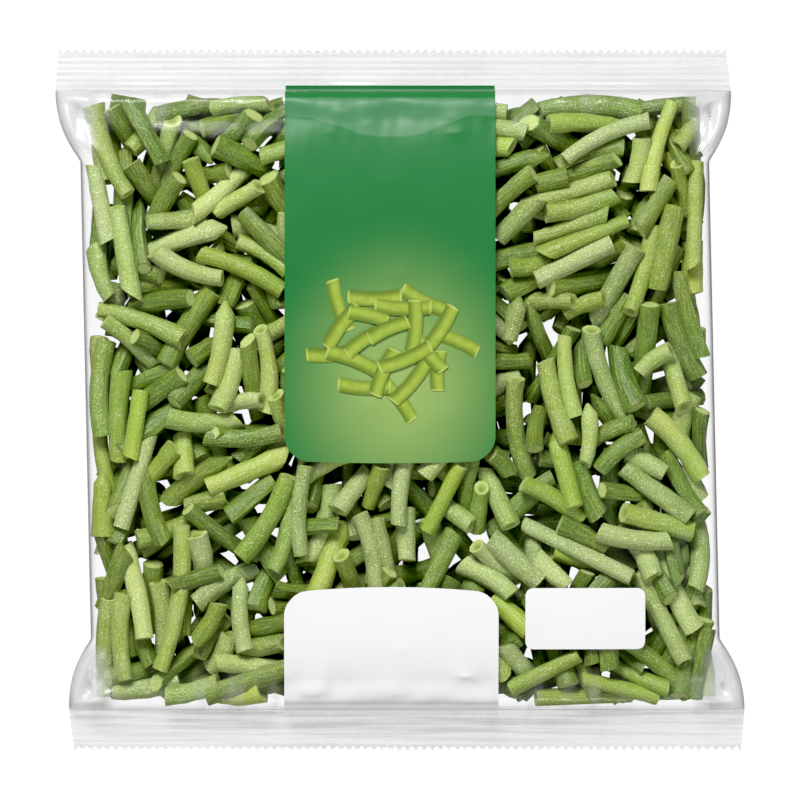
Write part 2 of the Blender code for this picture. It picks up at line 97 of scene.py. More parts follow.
# Beans that lie right under the face, as they show: middle x and y and length in mm, heading in degrees
FACE_BEANS = [
    (-112, 97, 38, 111), (-100, 104, 20, 81), (-82, 112, 26, 2), (-57, 113, 22, 3), (-92, 90, 35, 73),
    (-67, 82, 32, 46), (-61, 76, 20, 39), (-87, 68, 22, 173), (-81, 61, 32, 15), (-81, 51, 28, 160),
    (-60, 49, 34, 157), (-52, 56, 24, 147), (-116, 75, 30, 100), (-115, 49, 20, 94), (-106, 57, 34, 99),
    (-99, 29, 36, 163), (-103, 21, 28, 139), (-70, 23, 32, 80), (-50, 11, 32, 104), (-66, 7, 24, 50),
    (-61, 0, 17, 9), (-76, -8, 27, 173), (-81, -20, 17, 94), (-102, -9, 26, 84), (-115, 5, 37, 89),
    (-92, -27, 20, 63), (-103, -32, 35, 70), (-59, -15, 30, 16), (-57, -26, 31, 24), (-74, -39, 17, 6),
    (-115, -40, 25, 90), (-52, -45, 36, 62), (-92, -49, 26, 13), (-88, -78, 56, 82), (-76, -60, 24, 108),
    (-101, -73, 37, 110), (-114, -96, 39, 88), (-106, -91, 33, 88), (-68, -70, 24, 41), (-73, -86, 16, 64),
    (-60, -81, 28, 89), (-98, -110, 26, 15), (-52, -95, 20, 14), (-57, -104, 27, 176), (-81, -112, 21, 24),
    (-37, -42, 34, 88), (-18, -35, 20, 63), (0, -35, 26, 78), (16, -35, 30, 51), (-12, -58, 31, 107),
    (-28, -61, 30, 70), (16, -63, 25, 57), (43, -61, 25, 127), (38, -37, 25, 107), (-19, -67, 17, 110),
    (71, 113, 36, 0), (79, 100, 36, 24), (101, 98, 36, 70), (91, 92, 17, 79), (113, 103, 12, 8),
    (114, 72, 39, 85), (67, 79, 36, 8), (69, 74, 28, 9), (65, 67, 30, 20), (71, 63, 34, 22),
    (67, 53, 32, 32), (94, 49, 35, 86), (103, 58, 32, 85), (80, 44, 33, 77), (94, 73, 17, 45),
    (43, 67, 20, 38), (57, 38, 20, 4), (70, 36, 17, 37), (44, 31, 17, 79), (80, 9, 41, 116),
    (65, 10, 31, 94), (58, 0, 32, 106), (46, -11, 38, 97), (64, -27, 30, 110), (71, -13, 23, 77),
    (82, -14, 19, 24), (106, -18, 31, 131), (98, -35, 32, 140), (99, -47, 28, 169), (97, 15, 15, 38),
    (106, 9, 24, 105), (58, -39, 27, 146), (69, -57, 46, 157), (89, -52, 27, 176), (93, -62, 16, 125),
    (105, -72, 33, 114), (100, -85, 39, 122), (114, -60, 26, 94), (115, -100, 31, 94), (100, -103, 34, 147),
    (84, -110, 29, 160), (56, -105, 29, 33), (88, -104, 32, 157),
]

# Beans one layer further down, which the ones above partly cover
LOWER_FACE_BEANS = [
    (-78, 85, 18, 111), (-53, 64, 25, 163), (-108, -6, 34, 87), (-91, -84, 29, 94), (-68, -97, 17, 63),
    (-61, -114, 21, 175), (-30, -48, 32, 71), (-9, -33, 18, 82), (-5, -59, 31, 103), (2, -52, 19, 92),
    (13, -54, 16, 110), (37, -61, 22, 134), (32, -67, 22, 151), (31, -42, 17, 106), (-44, -52, 28, 78),
    (21, -45, 16, 132), (71, 106, 29, 2), (104, 112, 29, 3), (108, 90, 17, 125), (50, 52, 17, 15),
    (95, -23, 16, 156), (51, -57, 17, 112), (74, -63, 31, 155), (59, -67, 16, 141), (69, -115, 35, 0),
    (104, -113, 22, 177), (44, -84, 19, 132), (44, -99, 18, 145),
]


def swell(share, power):
    """How full the bag is at this share of the way from its middle (1 there) to its rim (0 there)."""
    return (1 - np.abs(np.clip(share, -1, 1)) ** power) ** (1 / power)


def film_top(x, y):
    across = (x - SKEW * y) / (BODY_WIDTH / 2)
    along = y / (BODY_LENGTH / 2)
    return SEAL_HEIGHT + CROWN_HEIGHT * swell(across, 4) * swell(along, 5)


def film_bottom(x, y):
    """The back lies flat on the table, apart from a band round the rim that lifts to the seals."""
    across = (x - SKEW * y) / (BODY_WIDTH / 2)
    along = y / (BODY_LENGTH / 2)
    flattened = np.minimum(1, 1.15 * swell(across, 5) * swell(along, 5))
    return SEAL_HEIGHT * (1 - flattened)


print("the filled bag is", round(float(film_top(0, 0)) / MM), "mm thick in its middle")

# %% Keep a bean inside the film


def slope(surface, x, y):
    """How much longer the surface is than its plan there."""
    step = 0.5 * MM
    rise_x = (surface(x + step, y) - surface(x - step, y)) / (2 * step)
    rise_y = (surface(x, y + step) - surface(x, y - step)) / (2 * step)
    return np.minimum(2.2, np.sqrt(1 + rise_x**2 + rise_y**2))


def kept_inside(points, radius):
    """These points, moved so that a bean of that radius round them clears the film."""
    clear = radius + WALL_GAP
    y = np.clip(points[:, 1], clear - BODY_LENGTH / 2, BODY_LENGTH / 2 - clear)
    lean = SKEW * y
    x = lean + np.clip(points[:, 0] - lean, clear - BODY_WIDTH / 2, BODY_WIDTH / 2 - clear)
    ceiling = film_top(x, y) - clear * slope(film_top, x, y)
    floor = film_bottom(x, y) + clear * slope(film_bottom, x, y)
    squeezed = ceiling < floor
    middle = (ceiling + floor) / 2
    z = np.where(squeezed, middle, np.clip(points[:, 2], floor, np.maximum(floor, ceiling)))
    inward = np.where(squeezed, 0.99, 1.0)
    return np.stack([x * inward, y * inward, z], axis=1)


corner = np.array([[BODY_WIDTH / 2, BODY_LENGTH / 2, 0]])
inside = kept_inside(corner, BEAN_RADIUS[0])
print("a bean in the corner of the bag is moved in to", (inside[0] / MM).round(1), "mm")

# %% [markdown]
# ## Laying the beans
#
# Loose pieces in a bag come to rest by pushing each other aside. We do the same with numbers: each bean is
# a bent rod, and wherever two rods come too near, both move and turn a little. A few hundred rounds settle
# them. The beans that show on the face start where they are seen. This is the rule that laid the solids
# of the part too, so the finer beans land in the same places.

# %% Beans with a place, an axis and a bulge


class Beans:
    """Places of many bent beans: middle, axis, side to which each bulges, length, radius and bulge."""

    def __init__(self, rows):
        table = np.array(rows, float)
        self.middle = table[:, 0:3].copy()
        heading = table[:, 3]
        self.axis = np.stack([np.cos(heading), np.sin(heading), table[:, 4]], axis=1)
        self.side = np.stack([-np.sin(heading), np.cos(heading), table[:, 5]], axis=1)
        self.length, self.radius = table[:, 6], table[:, 7]
        self.bulge = np.where(np.abs(table[:, 8]) < STRAIGHT_BELOW, 0, table[:, 8])
        self.press, self.pinned = table[:, 9], table[:, 10] > 0
        self.home, self.heading = self.middle[:, :2].copy(), heading
        self.clump = np.arange(len(table))
        self.square_up()

    def square_up(self):
        """Axes of unit length, not too steep, with the side square to the axis."""
        steepest = 0.42
        self.axis[:, 2] = np.clip(self.axis[:, 2], -steepest, steepest)
        self.axis /= np.linalg.norm(self.axis, axis=1)[:, None]
        self.side -= (self.side * self.axis).sum(1)[:, None] * self.axis
        self.side /= np.linalg.norm(self.side, axis=1)[:, None]

    def knots(self):
        """The head, knee and tail of every bean's centreline."""
        reach = self.axis * (self.length / 2)[:, None]
        bow = self.side * self.bulge[:, None]
        return self.middle - reach - bow / 3, self.middle + bow * 2 / 3, self.middle + reach - bow / 3

    def halves(self, trim=0):
        """Both straight halves of every bean's centreline: from where, and how far.

        At a cut end they stop short by as many radii as trim says.
        """
        head, knee, tail = self.knots()
        less = self.axis * (trim * self.radius)[:, None]
        head, tail = head + less, tail - less
        return np.concatenate([head, knee]), np.concatenate([knee - head, tail - knee])

    def hold_pins(self, strength):
        """Draws the beans that show on the face back to where they show."""
        pins = self.pinned
        self.middle[pins, :2] += strength * (self.home[pins] - self.middle[pins, :2])
        flat = np.stack([np.cos(self.heading), np.sin(self.heading)], axis=1)[pins]
        self.axis[pins, :2] += strength * (flat - self.axis[pins, :2])
        self.square_up()

    def keep_in_bag(self):
        for knot, away in zip(self.knots(), (-1, 0, 1)):
            shift = kept_inside(knot, self.radius) - knot
            self.middle += shift / 2
            self.axis += away * shift / self.length[:, None]
        self.square_up()


sample = Beans([(0, 0, 17 * MM, 0, 0, 0, 27 * MM, 3.6 * MM, 2 * MM, 0, 0)])
runs = np.linalg.norm(sample.halves()[1], axis=1)
print("a bent bean 27 mm long has two straight halves of", (runs / MM).round(1), "mm")

# %% Find where beans touch


def nearest(a_start, a_run, b_start, b_run):
    """How far along two straight stretches they come nearest, for many pairs at once."""
    between = a_start - b_start
    aa, bb = (a_run * a_run).sum(1), (b_run * b_run).sum(1)
    ab = (a_run * b_run).sum(1)
    ar, br = (a_run * between).sum(1), (b_run * between).sum(1)
    spread = aa * bb - ab * ab
    crossing = spread > 1e-3 * aa * bb
    s = np.where(crossing, np.clip((ab * br - ar * bb) / np.where(crossing, spread, 1), 0, 1), 0.5)
    t = np.clip((ab * s + br) / bb, 0, 1)
    s = np.clip((ab * t - ar) / aa, 0, 1)
    return s, t


def near_halves(beans, within):
    """Pairs of bean halves whose surfaces may be nearer than this. Tail halves come after all head halves."""
    start, run = beans.halves()
    owner = np.arange(len(start)) % len(beans.middle)
    centre = start + run / 2
    reach = np.linalg.norm(run, axis=1) / 2 + beans.radius[owner] + within / 2
    apart = np.linalg.norm(centre[:, None] - centre[None], axis=2)
    return np.nonzero((apart < reach[:, None] + reach[None]) & (owner[:, None] < owner[None]))


def touches(beans, pairs, trim=0):
    """Where each pair of halves comes nearest: beans, contact points, direction, and gap between their skins.

    Trimmed by one radius, the round-ended halves lie wholly inside the real, flat-ended ones.
    """
    start, run = beans.halves(trim)
    i, j = pairs
    a, b = i % len(beans.middle), j % len(beans.middle)
    s, t = nearest(start[i], run[i], start[j], run[j])
    on_a, on_b = start[i] + s[:, None] * run[i], start[j] + t[:, None] * run[j]
    off = on_a - on_b
    gap = np.linalg.norm(off, axis=1) - beans.radius[a] - beans.radius[b]
    off += np.where(off[:, 2:] < 0, -1, 1) * np.array([0, 0, 0.6 * MM])
    return a, b, on_a, on_b, off / np.linalg.norm(off, axis=1)[:, None], gap


side_by_side = [(0, y, 17 * MM, 0, 0, 0, 27 * MM, 3.6 * MM, 0, 0, 0) for y in (0, 8 * MM)]
between = touches(Beans(side_by_side), (np.array([0]), np.array([1])))[5]
print("two beans 7.2 mm thick, 8 mm apart, leave a gap of", (between[0] / MM).round(1), "mm")

# %% Push beans apart


def spread_apart(beans, rounds, bonds=(), pin=0.2, press=0.12, held=0, sink=SINK):
    """Moves beans until they only touch.

    Beans of two clumps come clear of each other, and bonded ones stay sunk in each other. The first few, as
    many as held says, stay where they are.
    """
    still = [values[:held].copy() for values in (beans.middle, beans.axis, beans.side)]
    ties = tuple(np.array(bonds, int).reshape(-1, 2).T)
    for turn in range(rounds):
        early = 1 - turn / rounds
        if turn % 8 == 0:
            near = near_halves(beans, 3 * MM)
        loose, tied = touches(beans, near), touches(beans, ties, 1)
        a, b, on_a, on_b, normal, gap = (np.concatenate(pair) for pair in zip(loose, tied))
        is_tied = np.arange(len(a)) >= len(near[0])
        strangers = (beans.clump[a] != beans.clump[b]) & (len(bonds) > 0)
        spare = (CORNER_SHARE - 1) * (beans.radius[a] + beans.radius[b]) + CLUMP_GAP + 0.15 * MM
        push = np.where(strangers, spare, -sink) - gap
        acting = (push > 0) | is_tied
        a, b, on_a, on_b, push, normal = (v[acting] for v in (a, b, on_a, on_b, push, normal))
        arm_a, arm_b = on_a - beans.middle[a], on_b - beans.middle[b]
        turn_a, turn_b = np.cross(arm_a, normal), np.cross(arm_b, normal)
        ease_a, ease_b = 12 / beans.length[a] ** 2, 12 / beans.length[b] ** 2
        give = 2 + ease_a * (turn_a**2).sum(1) + ease_b * (turn_b**2).sum(1)
        share = (0.5 * push / give)[:, None]
        slide, swing = np.zeros_like(beans.middle), np.zeros_like(beans.middle)
        np.add.at(slide, a, share * normal)
        np.add.at(slide, b, -share * normal)
        np.add.at(swing, a, share * turn_a * ease_a[:, None])
        np.add.at(swing, b, -share * turn_b * ease_b[:, None])
        beans.middle += slide
        beans.middle[:, 2] += beans.press * early * press * MM
        beans.axis += np.cross(swing, beans.axis)
        beans.side += np.cross(swing, beans.side)
        beans.hold_pins(pin * early)
        beans.keep_in_bag()
        beans.middle[:held], beans.axis[:held], beans.side[:held] = still


print("beans settle in", SETTLING_ROUNDS, "rounds and their clumps come clear in", CLEARING_ROUNDS, "more")

# %% [markdown]
# ## Which beans there are
#
# Those that show on the face have the places and sizes listed above. The rest are drawn at random: some
# under the print, some on the back, and a few by the side walls, where beans lie along the wall. All of
# the draws come from one seed, so the bag is the same each time.

# %% Draw the beans against the film


def wall_heading(x, y, rng):
    """A free heading, but along the wall for a bean that lies against one."""
    band = 11 * MM
    by_side = BODY_WIDTH / 2 - abs(x) < band
    by_end = BODY_LENGTH / 2 - abs(y) < band
    free = rng.uniform(0, pi)
    if by_side:
        return pi / 2 + rng.normal(0, 0.12)
    return rng.normal(0, 0.15) if by_end else free


def drawn_bean(x, y, z, press, rng):
    """A bean at this place, with the rest of it drawn at random."""
    heading = wall_heading(x, y, rng)
    length = rng.uniform(*BEAN_LENGTH) if rng.random() > 0.15 else rng.uniform(0.010, 0.019)
    radius = rng.uniform(*BEAN_RADIUS)
    bulge = rng.uniform(0, BEAN_BULGE_SHARE) * length
    tilt, roll = rng.normal(0, 0.08), rng.normal(0, 0.5)
    return (x, y, z, heading, tilt, roll, length, radius, bulge, press, 0)


def face_bean(row, depth, rng):
    """A bean that shows on the face: its place and size are given, and its bulge is drawn."""
    x, y, length = (value * MM for value in row[:3])
    radius = rng.uniform(*BEAN_RADIUS)
    bulge = rng.uniform(-BEAN_BULGE_SHARE, BEAN_BULGE_SHARE) * length
    z = film_top(x, y) - WALL_GAP - radius * (1 + depth * 2)
    return (x, y, z, radians(row[3]), 0, 0, length, radius, bulge, 1 - 0.7 * depth, 1)


def scattered(count, accept, rng):
    """Points spread evenly over the bag's plan, each the farthest of a few draws from those before it."""
    points = []
    while len(points) < count:
        draws = rng.uniform(-1, 1, (12, 2)) * (BODY_WIDTH / 2 - 5 * MM, BODY_LENGTH / 2 - 5 * MM)
        draws = [p for p in draws if accept(*p)]
        if draws:
            spans = [min([hypot(*(p - q)) for q in points] or [1]) for p in draws]
            points.append(draws[int(np.argmax(spans))])
    return points


def under_print(x, y):
    """Under the two printed panels, where the beans don't show."""
    return abs(x + 4 * MM) < 40 * MM and (y > -20 * MM or y < -76 * MM)


def outer_beans(rng):
    """The beans against the film: on the face, then under the print, on the back and by the sides."""
    rows = [face_bean(row, 0, rng) for row in FACE_BEANS]
    rows += [face_bean(row, 1, rng) for row in LOWER_FACE_BEANS]
    for x, y in scattered(HIDDEN_FACE_BEANS, under_print, rng):
        rows.append(drawn_bean(x, y, film_top(x, y) - 6 * MM, 1, rng))
    for x, y in scattered(BACK_BEANS, lambda x, y: True, rng):
        rows.append(drawn_bean(x, y, film_bottom(x, y) + 6 * MM, -1, rng))
    for number in range(SIDE_BEANS):
        side = 1 if number % 2 else -1
        y = (number / (SIDE_BEANS - 1) - 0.5) * 0.92 * BODY_LENGTH
        rows.append(drawn_bean(side * 0.97 * BODY_WIDTH / 2, y, 17 * MM, 0, rng))
    return Beans(rows)


print("read from the face:", len(FACE_BEANS) + len(LOWER_FACE_BEANS), "beans")

# %% [markdown]
# ## Clumps of frozen beans
#
# Beans freeze to those they lie against. The solids of the part follow this: each bean joins the clump of
# the bean nearest to it, until a clump is large enough, and a bean that would cut into another clump is
# left out.

# %% Gather the beans in clumps


def gathered(beans):
    """Puts every bean in a clump with those it lies against.

    Returns the pairs of halves that hold the clumps together.
    """
    halves = near_halves(beans, 12 * MM)
    a, b, _, _, _, gap = touches(beans, halves, 1)
    order = np.argsort(gap, kind="stable")
    beans.clump = np.arange(len(beans.middle))
    size = np.ones(len(beans.middle), int)
    bonds = []
    passes = ((CLUMP_SIZE, CLUMP_SIZE, 2 * MM), (1, CLUMP_SIZE + 1, 6 * MM), (3, 12, 6 * MM))
    for small, most, widest in passes:
        for k in order:
            one, other = beans.clump[a[k]], beans.clump[b[k]]
            together = size[one] + size[other]
            if one == other or together > most or gap[k] > widest or min(size[one], size[other]) > small:
                continue
            if small < CLUMP_SIZE and len(np.unique(beans.clump)) <= MOST_CLUMPS:
                break
            beans.clump[beans.clump == other] = one
            size[one] = together
            bonds.append((halves[0][k], halves[1][k]))
    return bonds


def sound_beans(beans):
    """The beans that are clear of every other clump and fused with their own, as {clump: [bean, ...]}."""
    kept = np.ones(len(beans.middle), bool)
    near = near_halves(beans, 3 * MM)
    a, b, _, _, _, gap = touches(beans, near)
    radii = beans.radius[a] + beans.radius[b]
    strangers = beans.clump[a] != beans.clump[b]
    for k in np.nonzero(strangers & (gap < (CORNER_SHARE - 1) * radii + 0.15 * MM))[0]:
        if kept[a[k]] and kept[b[k]]:
            kept[b[k]] = False
    gap = touches(beans, near, 1)[5]
    fused = ~strangers & (gap < (FLAT_SHARE - 1) * radii - 0.2 * MM)
    ties = [(i, j) for i, j in zip(a[fused], b[fused]) if kept[i] and kept[j]]
    groups = {}
    for clump in np.unique(beans.clump[kept]):
        members = set(np.nonzero(kept & (beans.clump == clump))[0])
        best = []
        while members:
            group, edge = [], [min(members)]
            while edge:
                bean = edge.pop()
                if bean in members:
                    members.discard(bean)
                    group.append(int(bean))
                    edge += [j for i, j in ties if i == bean] + [i for i, j in ties if j == bean]
            best = max(best, group, key=len)
        groups[int(clump)] = sorted(best)
    return groups


print("a clump holds about", CLUMP_SIZE, "beans")

# %% Lay the beans of the solids
draw = np.random.default_rng(SEED)
beans = outer_beans(draw)
spread_apart(beans, SETTLING_ROUNDS)
ties = gathered(beans)
spread_apart(beans, CLEARING_ROUNDS, ties, pin=0.05, press=0.02)
clumps = list(sound_beans(beans).values())
print("laid", sum(map(len, clumps)), "beans against the film, in", len(clumps), "clumps")

# %% [markdown]
# ## Filling the middle
#
# The solids leave the bag's middle empty, because nobody can reach it. Light gets in there, though, and
# through every gap between two beans we see a third one further down. So a few hundred more are laid
# between the face and the back, while the outer ones hold still.

# %% Beans in the middle
INNER_LAYERS = (0.30, 0.50, 0.70)
INNER_BEANS_A_LAYER = 150
FILL_ROUNDS = 240


def both(first, second):
    """Two lots of beans as one."""
    for name, values in vars(second).items():
        setattr(second, name, np.concatenate([getattr(first, name), values]))
    return second


def middle_beans(rng):
    """Beans in even layers between the back and the face."""
    rows = []
    for share in INNER_LAYERS:
        for x, y in scattered(INNER_BEANS_A_LAYER, lambda x, y: abs(x) < 0.112 and abs(y) < 0.110, rng):
            floor, ceiling = film_bottom(x, y), film_top(x, y)
            rows.append(drawn_bean(x, y, floor + share * (ceiling - floor), 0, rng))
    return Beans(rows)


outer_count = len(beans.middle)
beans = both(beans, middle_beans(draw))
spread_apart(beans, FILL_ROUNDS, held=outer_count, sink=0.4 * MM)
print("filled the middle with", len(beans.middle) - outer_count, "more beans")

# %% [markdown]
# ## One cut bean
#
# A cut bean is a short length of pod: a slightly flattened tube of skin with a seam along each edge, a
# clean cut at both ends, and a seed hollow in the pale flesh. We make one straight bean from a cylinder.
# Its sides are subdivided so that they can bend, and its two ends get two insets: the rim of the skin,
# and the flesh with its hollow. Beans in the bag's middle hardly show, so they copy a simpler one.

# %% Model the stock bean
STOCK_RADIUS = 0.0036
STOCK_LENGTH = 0.027
END_ZONE = 0.005


def pick(obj, kind, wanted):
    """In edit mode, selects the faces or edges that pass a test and nothing else."""
    bpy.ops.mesh.select_mode(type="FACE" if kind == "faces" else "EDGE")
    bpy.ops.mesh.select_all(action="DESELECT")
    mesh = bmesh.from_edit_mesh(obj.data)
    for item in getattr(mesh, kind):
        item.select_set(wanted(item))
    bmesh.update_edit_mesh(obj.data)


def stock_bean(sides, rings, insets):
    """The points and faces of a straight bean. The insets give each step into its ends: width and depth."""
    bpy.ops.object.select_all(action="DESELECT")
    bpy.ops.mesh.primitive_cylinder_add(
        vertices=sides, radius=STOCK_RADIUS, depth=STOCK_LENGTH, end_fill_type="NGON"
    )
    bean = bpy.context.object
    bpy.ops.object.mode_set(mode="EDIT")
    pick(bean, "edges", lambda e: abs(e.verts[0].co.z - e.verts[1].co.z) > STOCK_LENGTH / 2)
    bpy.ops.mesh.subdivide(number_cuts=rings - 1)
    pick(bean, "faces", lambda f: abs(f.normal.z) > 0.9)
    for thickness, depth in insets:
        bpy.ops.mesh.inset(thickness=thickness, depth=depth)
    bpy.ops.object.mode_set(mode="OBJECT")
    points = np.array([v.co for v in bean.data.vertices])
    faces = [tuple(p.vertices) for p in bean.data.polygons]
    bpy.data.objects.remove(bean)
    return points, faces


outer_stock = stock_bean(10, 6, ((0.0006, 0.0001), (0.0019, -0.0008)))
middle_stock = stock_bean(8, 4, ((0.0008, 0.0),))
print("the stock beans have", len(outer_stock[1]), "and", len(middle_stock[1]), "faces")

# %% [markdown]
# ## Every bean a little different
#
# No two pieces of a pod are alike, so each copy draws its own shape: how flat it is, how far its seams
# stand out, where its seeds bulge, how slanted the knife went through it, and whether one end is the
# pod's own tip. The copy's points are then laid along its bent centreline. Three numbers stay on its
# points for the material: its own tint, cut down as painted shade for the beans in the middle, how
# frosted it is, and where the skin ends and the flesh begins.

# %% Copy, shape and bend the beans
TIP_CHANCE = 0.10
TORN_CHANCE = 0.16
SEAM_RISE = 0.04
SEED_PITCH = (0.0075, 0.011)


def flesh_of(points):
    """Which stock points lie on a cut face: 0 on the skin, 1 on flesh, 2 down in the seed hollow."""
    from_axis = np.hypot(points[:, 0], points[:, 1])
    flesh = np.where(from_axis < STOCK_RADIUS - 0.0004, 1.0, 0.0)
    return np.where(from_axis < STOCK_RADIUS - 0.0019, 2.0, flesh)


def shaped_bean(number, stock_points, rng):
    """The points of one bean, and their place on it as if it were straight."""
    radius, length, bulge = beans.radius[number], beans.length[number], beans.bulge[number]
    size = radius / STOCK_RADIUS
    x, y, z = stock_points.T
    inner = STOCK_LENGTH / 2 - END_ZONE
    past = np.clip(np.abs(z) - inner, 0, None) * size
    along = np.sign(z) * (np.minimum(np.abs(z), inner) / inner * (length / 2 - END_ZONE * size) + past)
    turn = np.arctan2(y, x)
    oval = rng.uniform(0.02, 0.13) * np.cos(2 * turn)
    seam = SEAM_RISE * rng.uniform(0.3, 1.3) * (np.abs(np.cos(turn)) > 0.97)
    pitch = rng.uniform(*SEED_PITCH)
    seeds = rng.uniform(0.01, 0.06) * np.sin(2 * pi * along / pitch + rng.uniform(0, 6))
    taper = rng.normal(0, 0.08) * along / length * 2
    wide = size * (1 + oval + seam + seeds + taper)
    if rng.random() < TIP_CHANCE:
        left = np.clip((length / 2 - along) / (1.6 * radius), 0, 1)
        wide *= np.sqrt(np.clip(1 - (1 - left) ** 2, 0.03, 1))
    across, up = x * wide, y * wide
    for end in (-1, 1):
        slant = np.clip(rng.normal(0, 0.2 if rng.random() > TORN_CHANCE else 0.7), -0.9, 0.9)
        facing = rng.uniform(0, 2 * pi)
        near = np.clip((end * along - length / 2 + END_ZONE * size) / (END_ZONE * size), 0, 1)
        along = along + near * slant * (across * cos(facing) + up * sin(facing))
    roll = rng.uniform(0, 2 * pi)
    across, up = across * cos(roll) - up * sin(roll), across * sin(roll) + up * cos(roll)
    axis, side = beans.axis[number], beans.side[number]
    third = np.cross(axis, side)
    bow = bulge * (2 / 3 - (2 * along / length) ** 2)
    lean = np.arctan(-8 * bulge * along / length**2)[:, None]
    across_way = np.cos(lean) * side - np.sin(lean) * axis
    points = beans.middle[number] + along[:, None] * axis + bow[:, None] * side
    points = points + across[:, None] * across_way + up[:, None] * third
    start = rng.uniform(0, 10)
    grain = np.stack([np.cos(turn), np.sin(turn), along / radius + start * 7], axis=1)
    return points, grain + start


def bean_piece(name, members, stock, rng, shade=1.0, frosted=1.0):
    """One object that holds these beans: shade deepens their green as painted shade; frosted whitens them."""
    stock_points, stock_faces = stock
    points, grain, tint_and_shade, frost = [], [], [], []
    faces = []
    for number in members:
        base = len(points) * len(stock_points)
        shaped, lined = shaped_bean(number, stock_points, rng)
        points.append(shaped)
        grain.append(lined)
        tint_and_shade.append(np.full(len(shaped), shade * rng.beta(2.4, 2.8)))
        frost.append(np.full(len(shaped), frosted * rng.beta(2, 2)))
        faces += [tuple(base + v for v in face) for face in stock_faces]
    mesh = bpy.data.meshes.new(name)
    mesh.from_pydata(np.concatenate(points).tolist(), [], faces)
    for label, kind, values in (
        ("tint_and_shade", "FLOAT", np.concatenate(tint_and_shade)),
        ("frost", "FLOAT", np.concatenate(frost)),
        ("flesh", "FLOAT", np.tile(flesh_of(stock_points), len(members))),
        ("grain", "FLOAT_VECTOR", np.concatenate(grain).ravel()),
    ):
        attribute = mesh.attributes.new(label, kind, "POINT")
        attribute.data.foreach_set("vector" if kind == "FLOAT_VECTOR" else "value", values.astype(np.float32))
    piece = bpy.data.objects.new(name, mesh)
    bpy.context.scene.collection.objects.link(piece)
    bpy.ops.object.select_all(action="DESELECT")
    piece.select_set(True)
    bpy.context.view_layer.objects.active = piece
    bpy.ops.object.shade_smooth_by_angle(angle=radians(52))
    return piece


look = np.random.default_rng(SEED + 1)
bean_pieces = []
for count, members in enumerate(clumps, 1):
    piece = bean_piece(f"beans_{count:02d}", members, outer_stock, look)
    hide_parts(f"bean_clump_{count:02d}")
    bean_pieces.append(piece)
inner_numbers = np.arange(outer_count, len(beans.middle))
for count, members in enumerate(np.array_split(inner_numbers, 6), 1):
    # Painted shade: the beans in the middle keep a quarter of their tint and no frost, so they look darker
    piece = bean_piece(f"middle_beans_{count}", members, middle_stock, look, shade=0.25, frosted=0.0)
    bean_pieces.append(piece)
print("made", len(bean_pieces), "pieces of beans")
for count, piece in enumerate(bean_pieces[: len(clumps)], 1):
    low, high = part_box(f"bean_clump_{count:02d}")
    points = np.array([v.co for v in piece.data.vertices])
    gap = max(abs(points.min(0) - np.array(low)).max(), abs(points.max(0) - np.array(high)).max())
    if gap > 0.002:
        print("clump", count, "differs from its solid by", round(gap / MM, 1), "mm")

# %% [markdown]
# ## The film over the beans
#
# The film hangs over the beans like a taut sheet: it rests on the highest ones and dips a little between
# them. We find its height on a fine grid of squares. Each bean first marks how high it reaches, and then
# every square takes the average of its neighbours, again and again, but never sinks into a bean.

# %% Drape the face
SQUARE = 0.0012
HALF_GRID = 0.132
COLUMNS = int(2 * HALF_GRID / SQUARE)
DRAPE_ROUNDS = 90


def square_at(x, y):
    """Which square a point lies in, as fractions."""
    return (y + HALF_GRID) / SQUARE, (x + HALF_GRID) / SQUARE


def bean_tops():
    """How high the beans reach over each square, from points all along their edges."""
    tops = np.zeros((COLUMNS + 1, COLUMNS + 1))
    for piece in bean_pieces:
        points = np.array([v.co for v in piece.data.vertices])
        ends = np.array([e.vertices for e in piece.data.edges])
        head, tail = points[ends[:, 0]], points[ends[:, 1]]
        spread = [head * (1 - share) + tail * share for share in (0.25, 0.5, 0.75)]
        points = np.concatenate([points] + spread)
        points = points[points[:, 2] > SEAL_HEIGHT]
        row, column = np.rint(square_at(points[:, 0], points[:, 1])).astype(int)
        for dr in (-1, 0, 1):
            for dc in (-1, 0, 1):
                np.maximum.at(tops, (row + dr, column + dc), points[:, 2])
    return tops


def draped():
    """The film's height over each square."""
    steps = np.arange(COLUMNS + 1) * SQUARE - HALF_GRID
    y, x = np.meshgrid(steps, steps, indexing="ij")
    shell = film_top(x, y)
    rest = np.maximum(bean_tops() + 0.2 * MM, SEAL_HEIGHT)
    sheet = shell - 1.5 * MM * (shell > SEAL_HEIGHT + 4 * MM)
    rim = shell < SEAL_HEIGHT + 8 * MM
    for _ in range(DRAPE_ROUNDS):
        around = sheet.copy()
        around[1:-1, 1:-1] = (sheet[2:, 1:-1] + sheet[:-2, 1:-1] + sheet[1:-1, 2:] + sheet[1:-1, :-2]) / 4
        sheet = np.where(rim, shell, np.maximum(rest, around))
    return sheet


def smooth_step(low, high, value):
    share = np.clip((value - low) / (high - low), 0, 1)
    return share * share * (3 - 2 * share)


drape = draped()
dip = film_top(0, 0) - drape[COLUMNS // 2, COLUMNS // 2]
print("the film dips", round(float(dip / MM), 1), "mm at its middle")

# %% [markdown]
# ## The film
#
# The bag is one tube. We start from a flat grid and roll it up: each of its rows becomes a ring that runs
# over the face from left to right and home under the back. The rings in the middle stand open round the
# beans, and those at both ends close to the flat seals. Near a seal the tube is wider and thinner, because
# it is pressed flat there, and that gives the bag its ears. The seals get fine crimp lines and teeth, and
# the film gathers into small wrinkles beside them. Where the rolled grid meets itself its doubles are
# merged, and then its normals are made to point outwards.

# %% Wrinkles, pleats and crimps
HALF_WIDTH = BODY_WIDTH / 2
HALF_LENGTH = BODY_LENGTH / 2
CRIMP_PITCH = 0.0023
CRIMP_RISE = 0.00012
SEAL_NARROWING = 0.0018
EAR_REACH = 0.027
# The corner of the beans, from which the pleats of an ear fan out
EAR_ROOT = (0.1100, 0.0900)


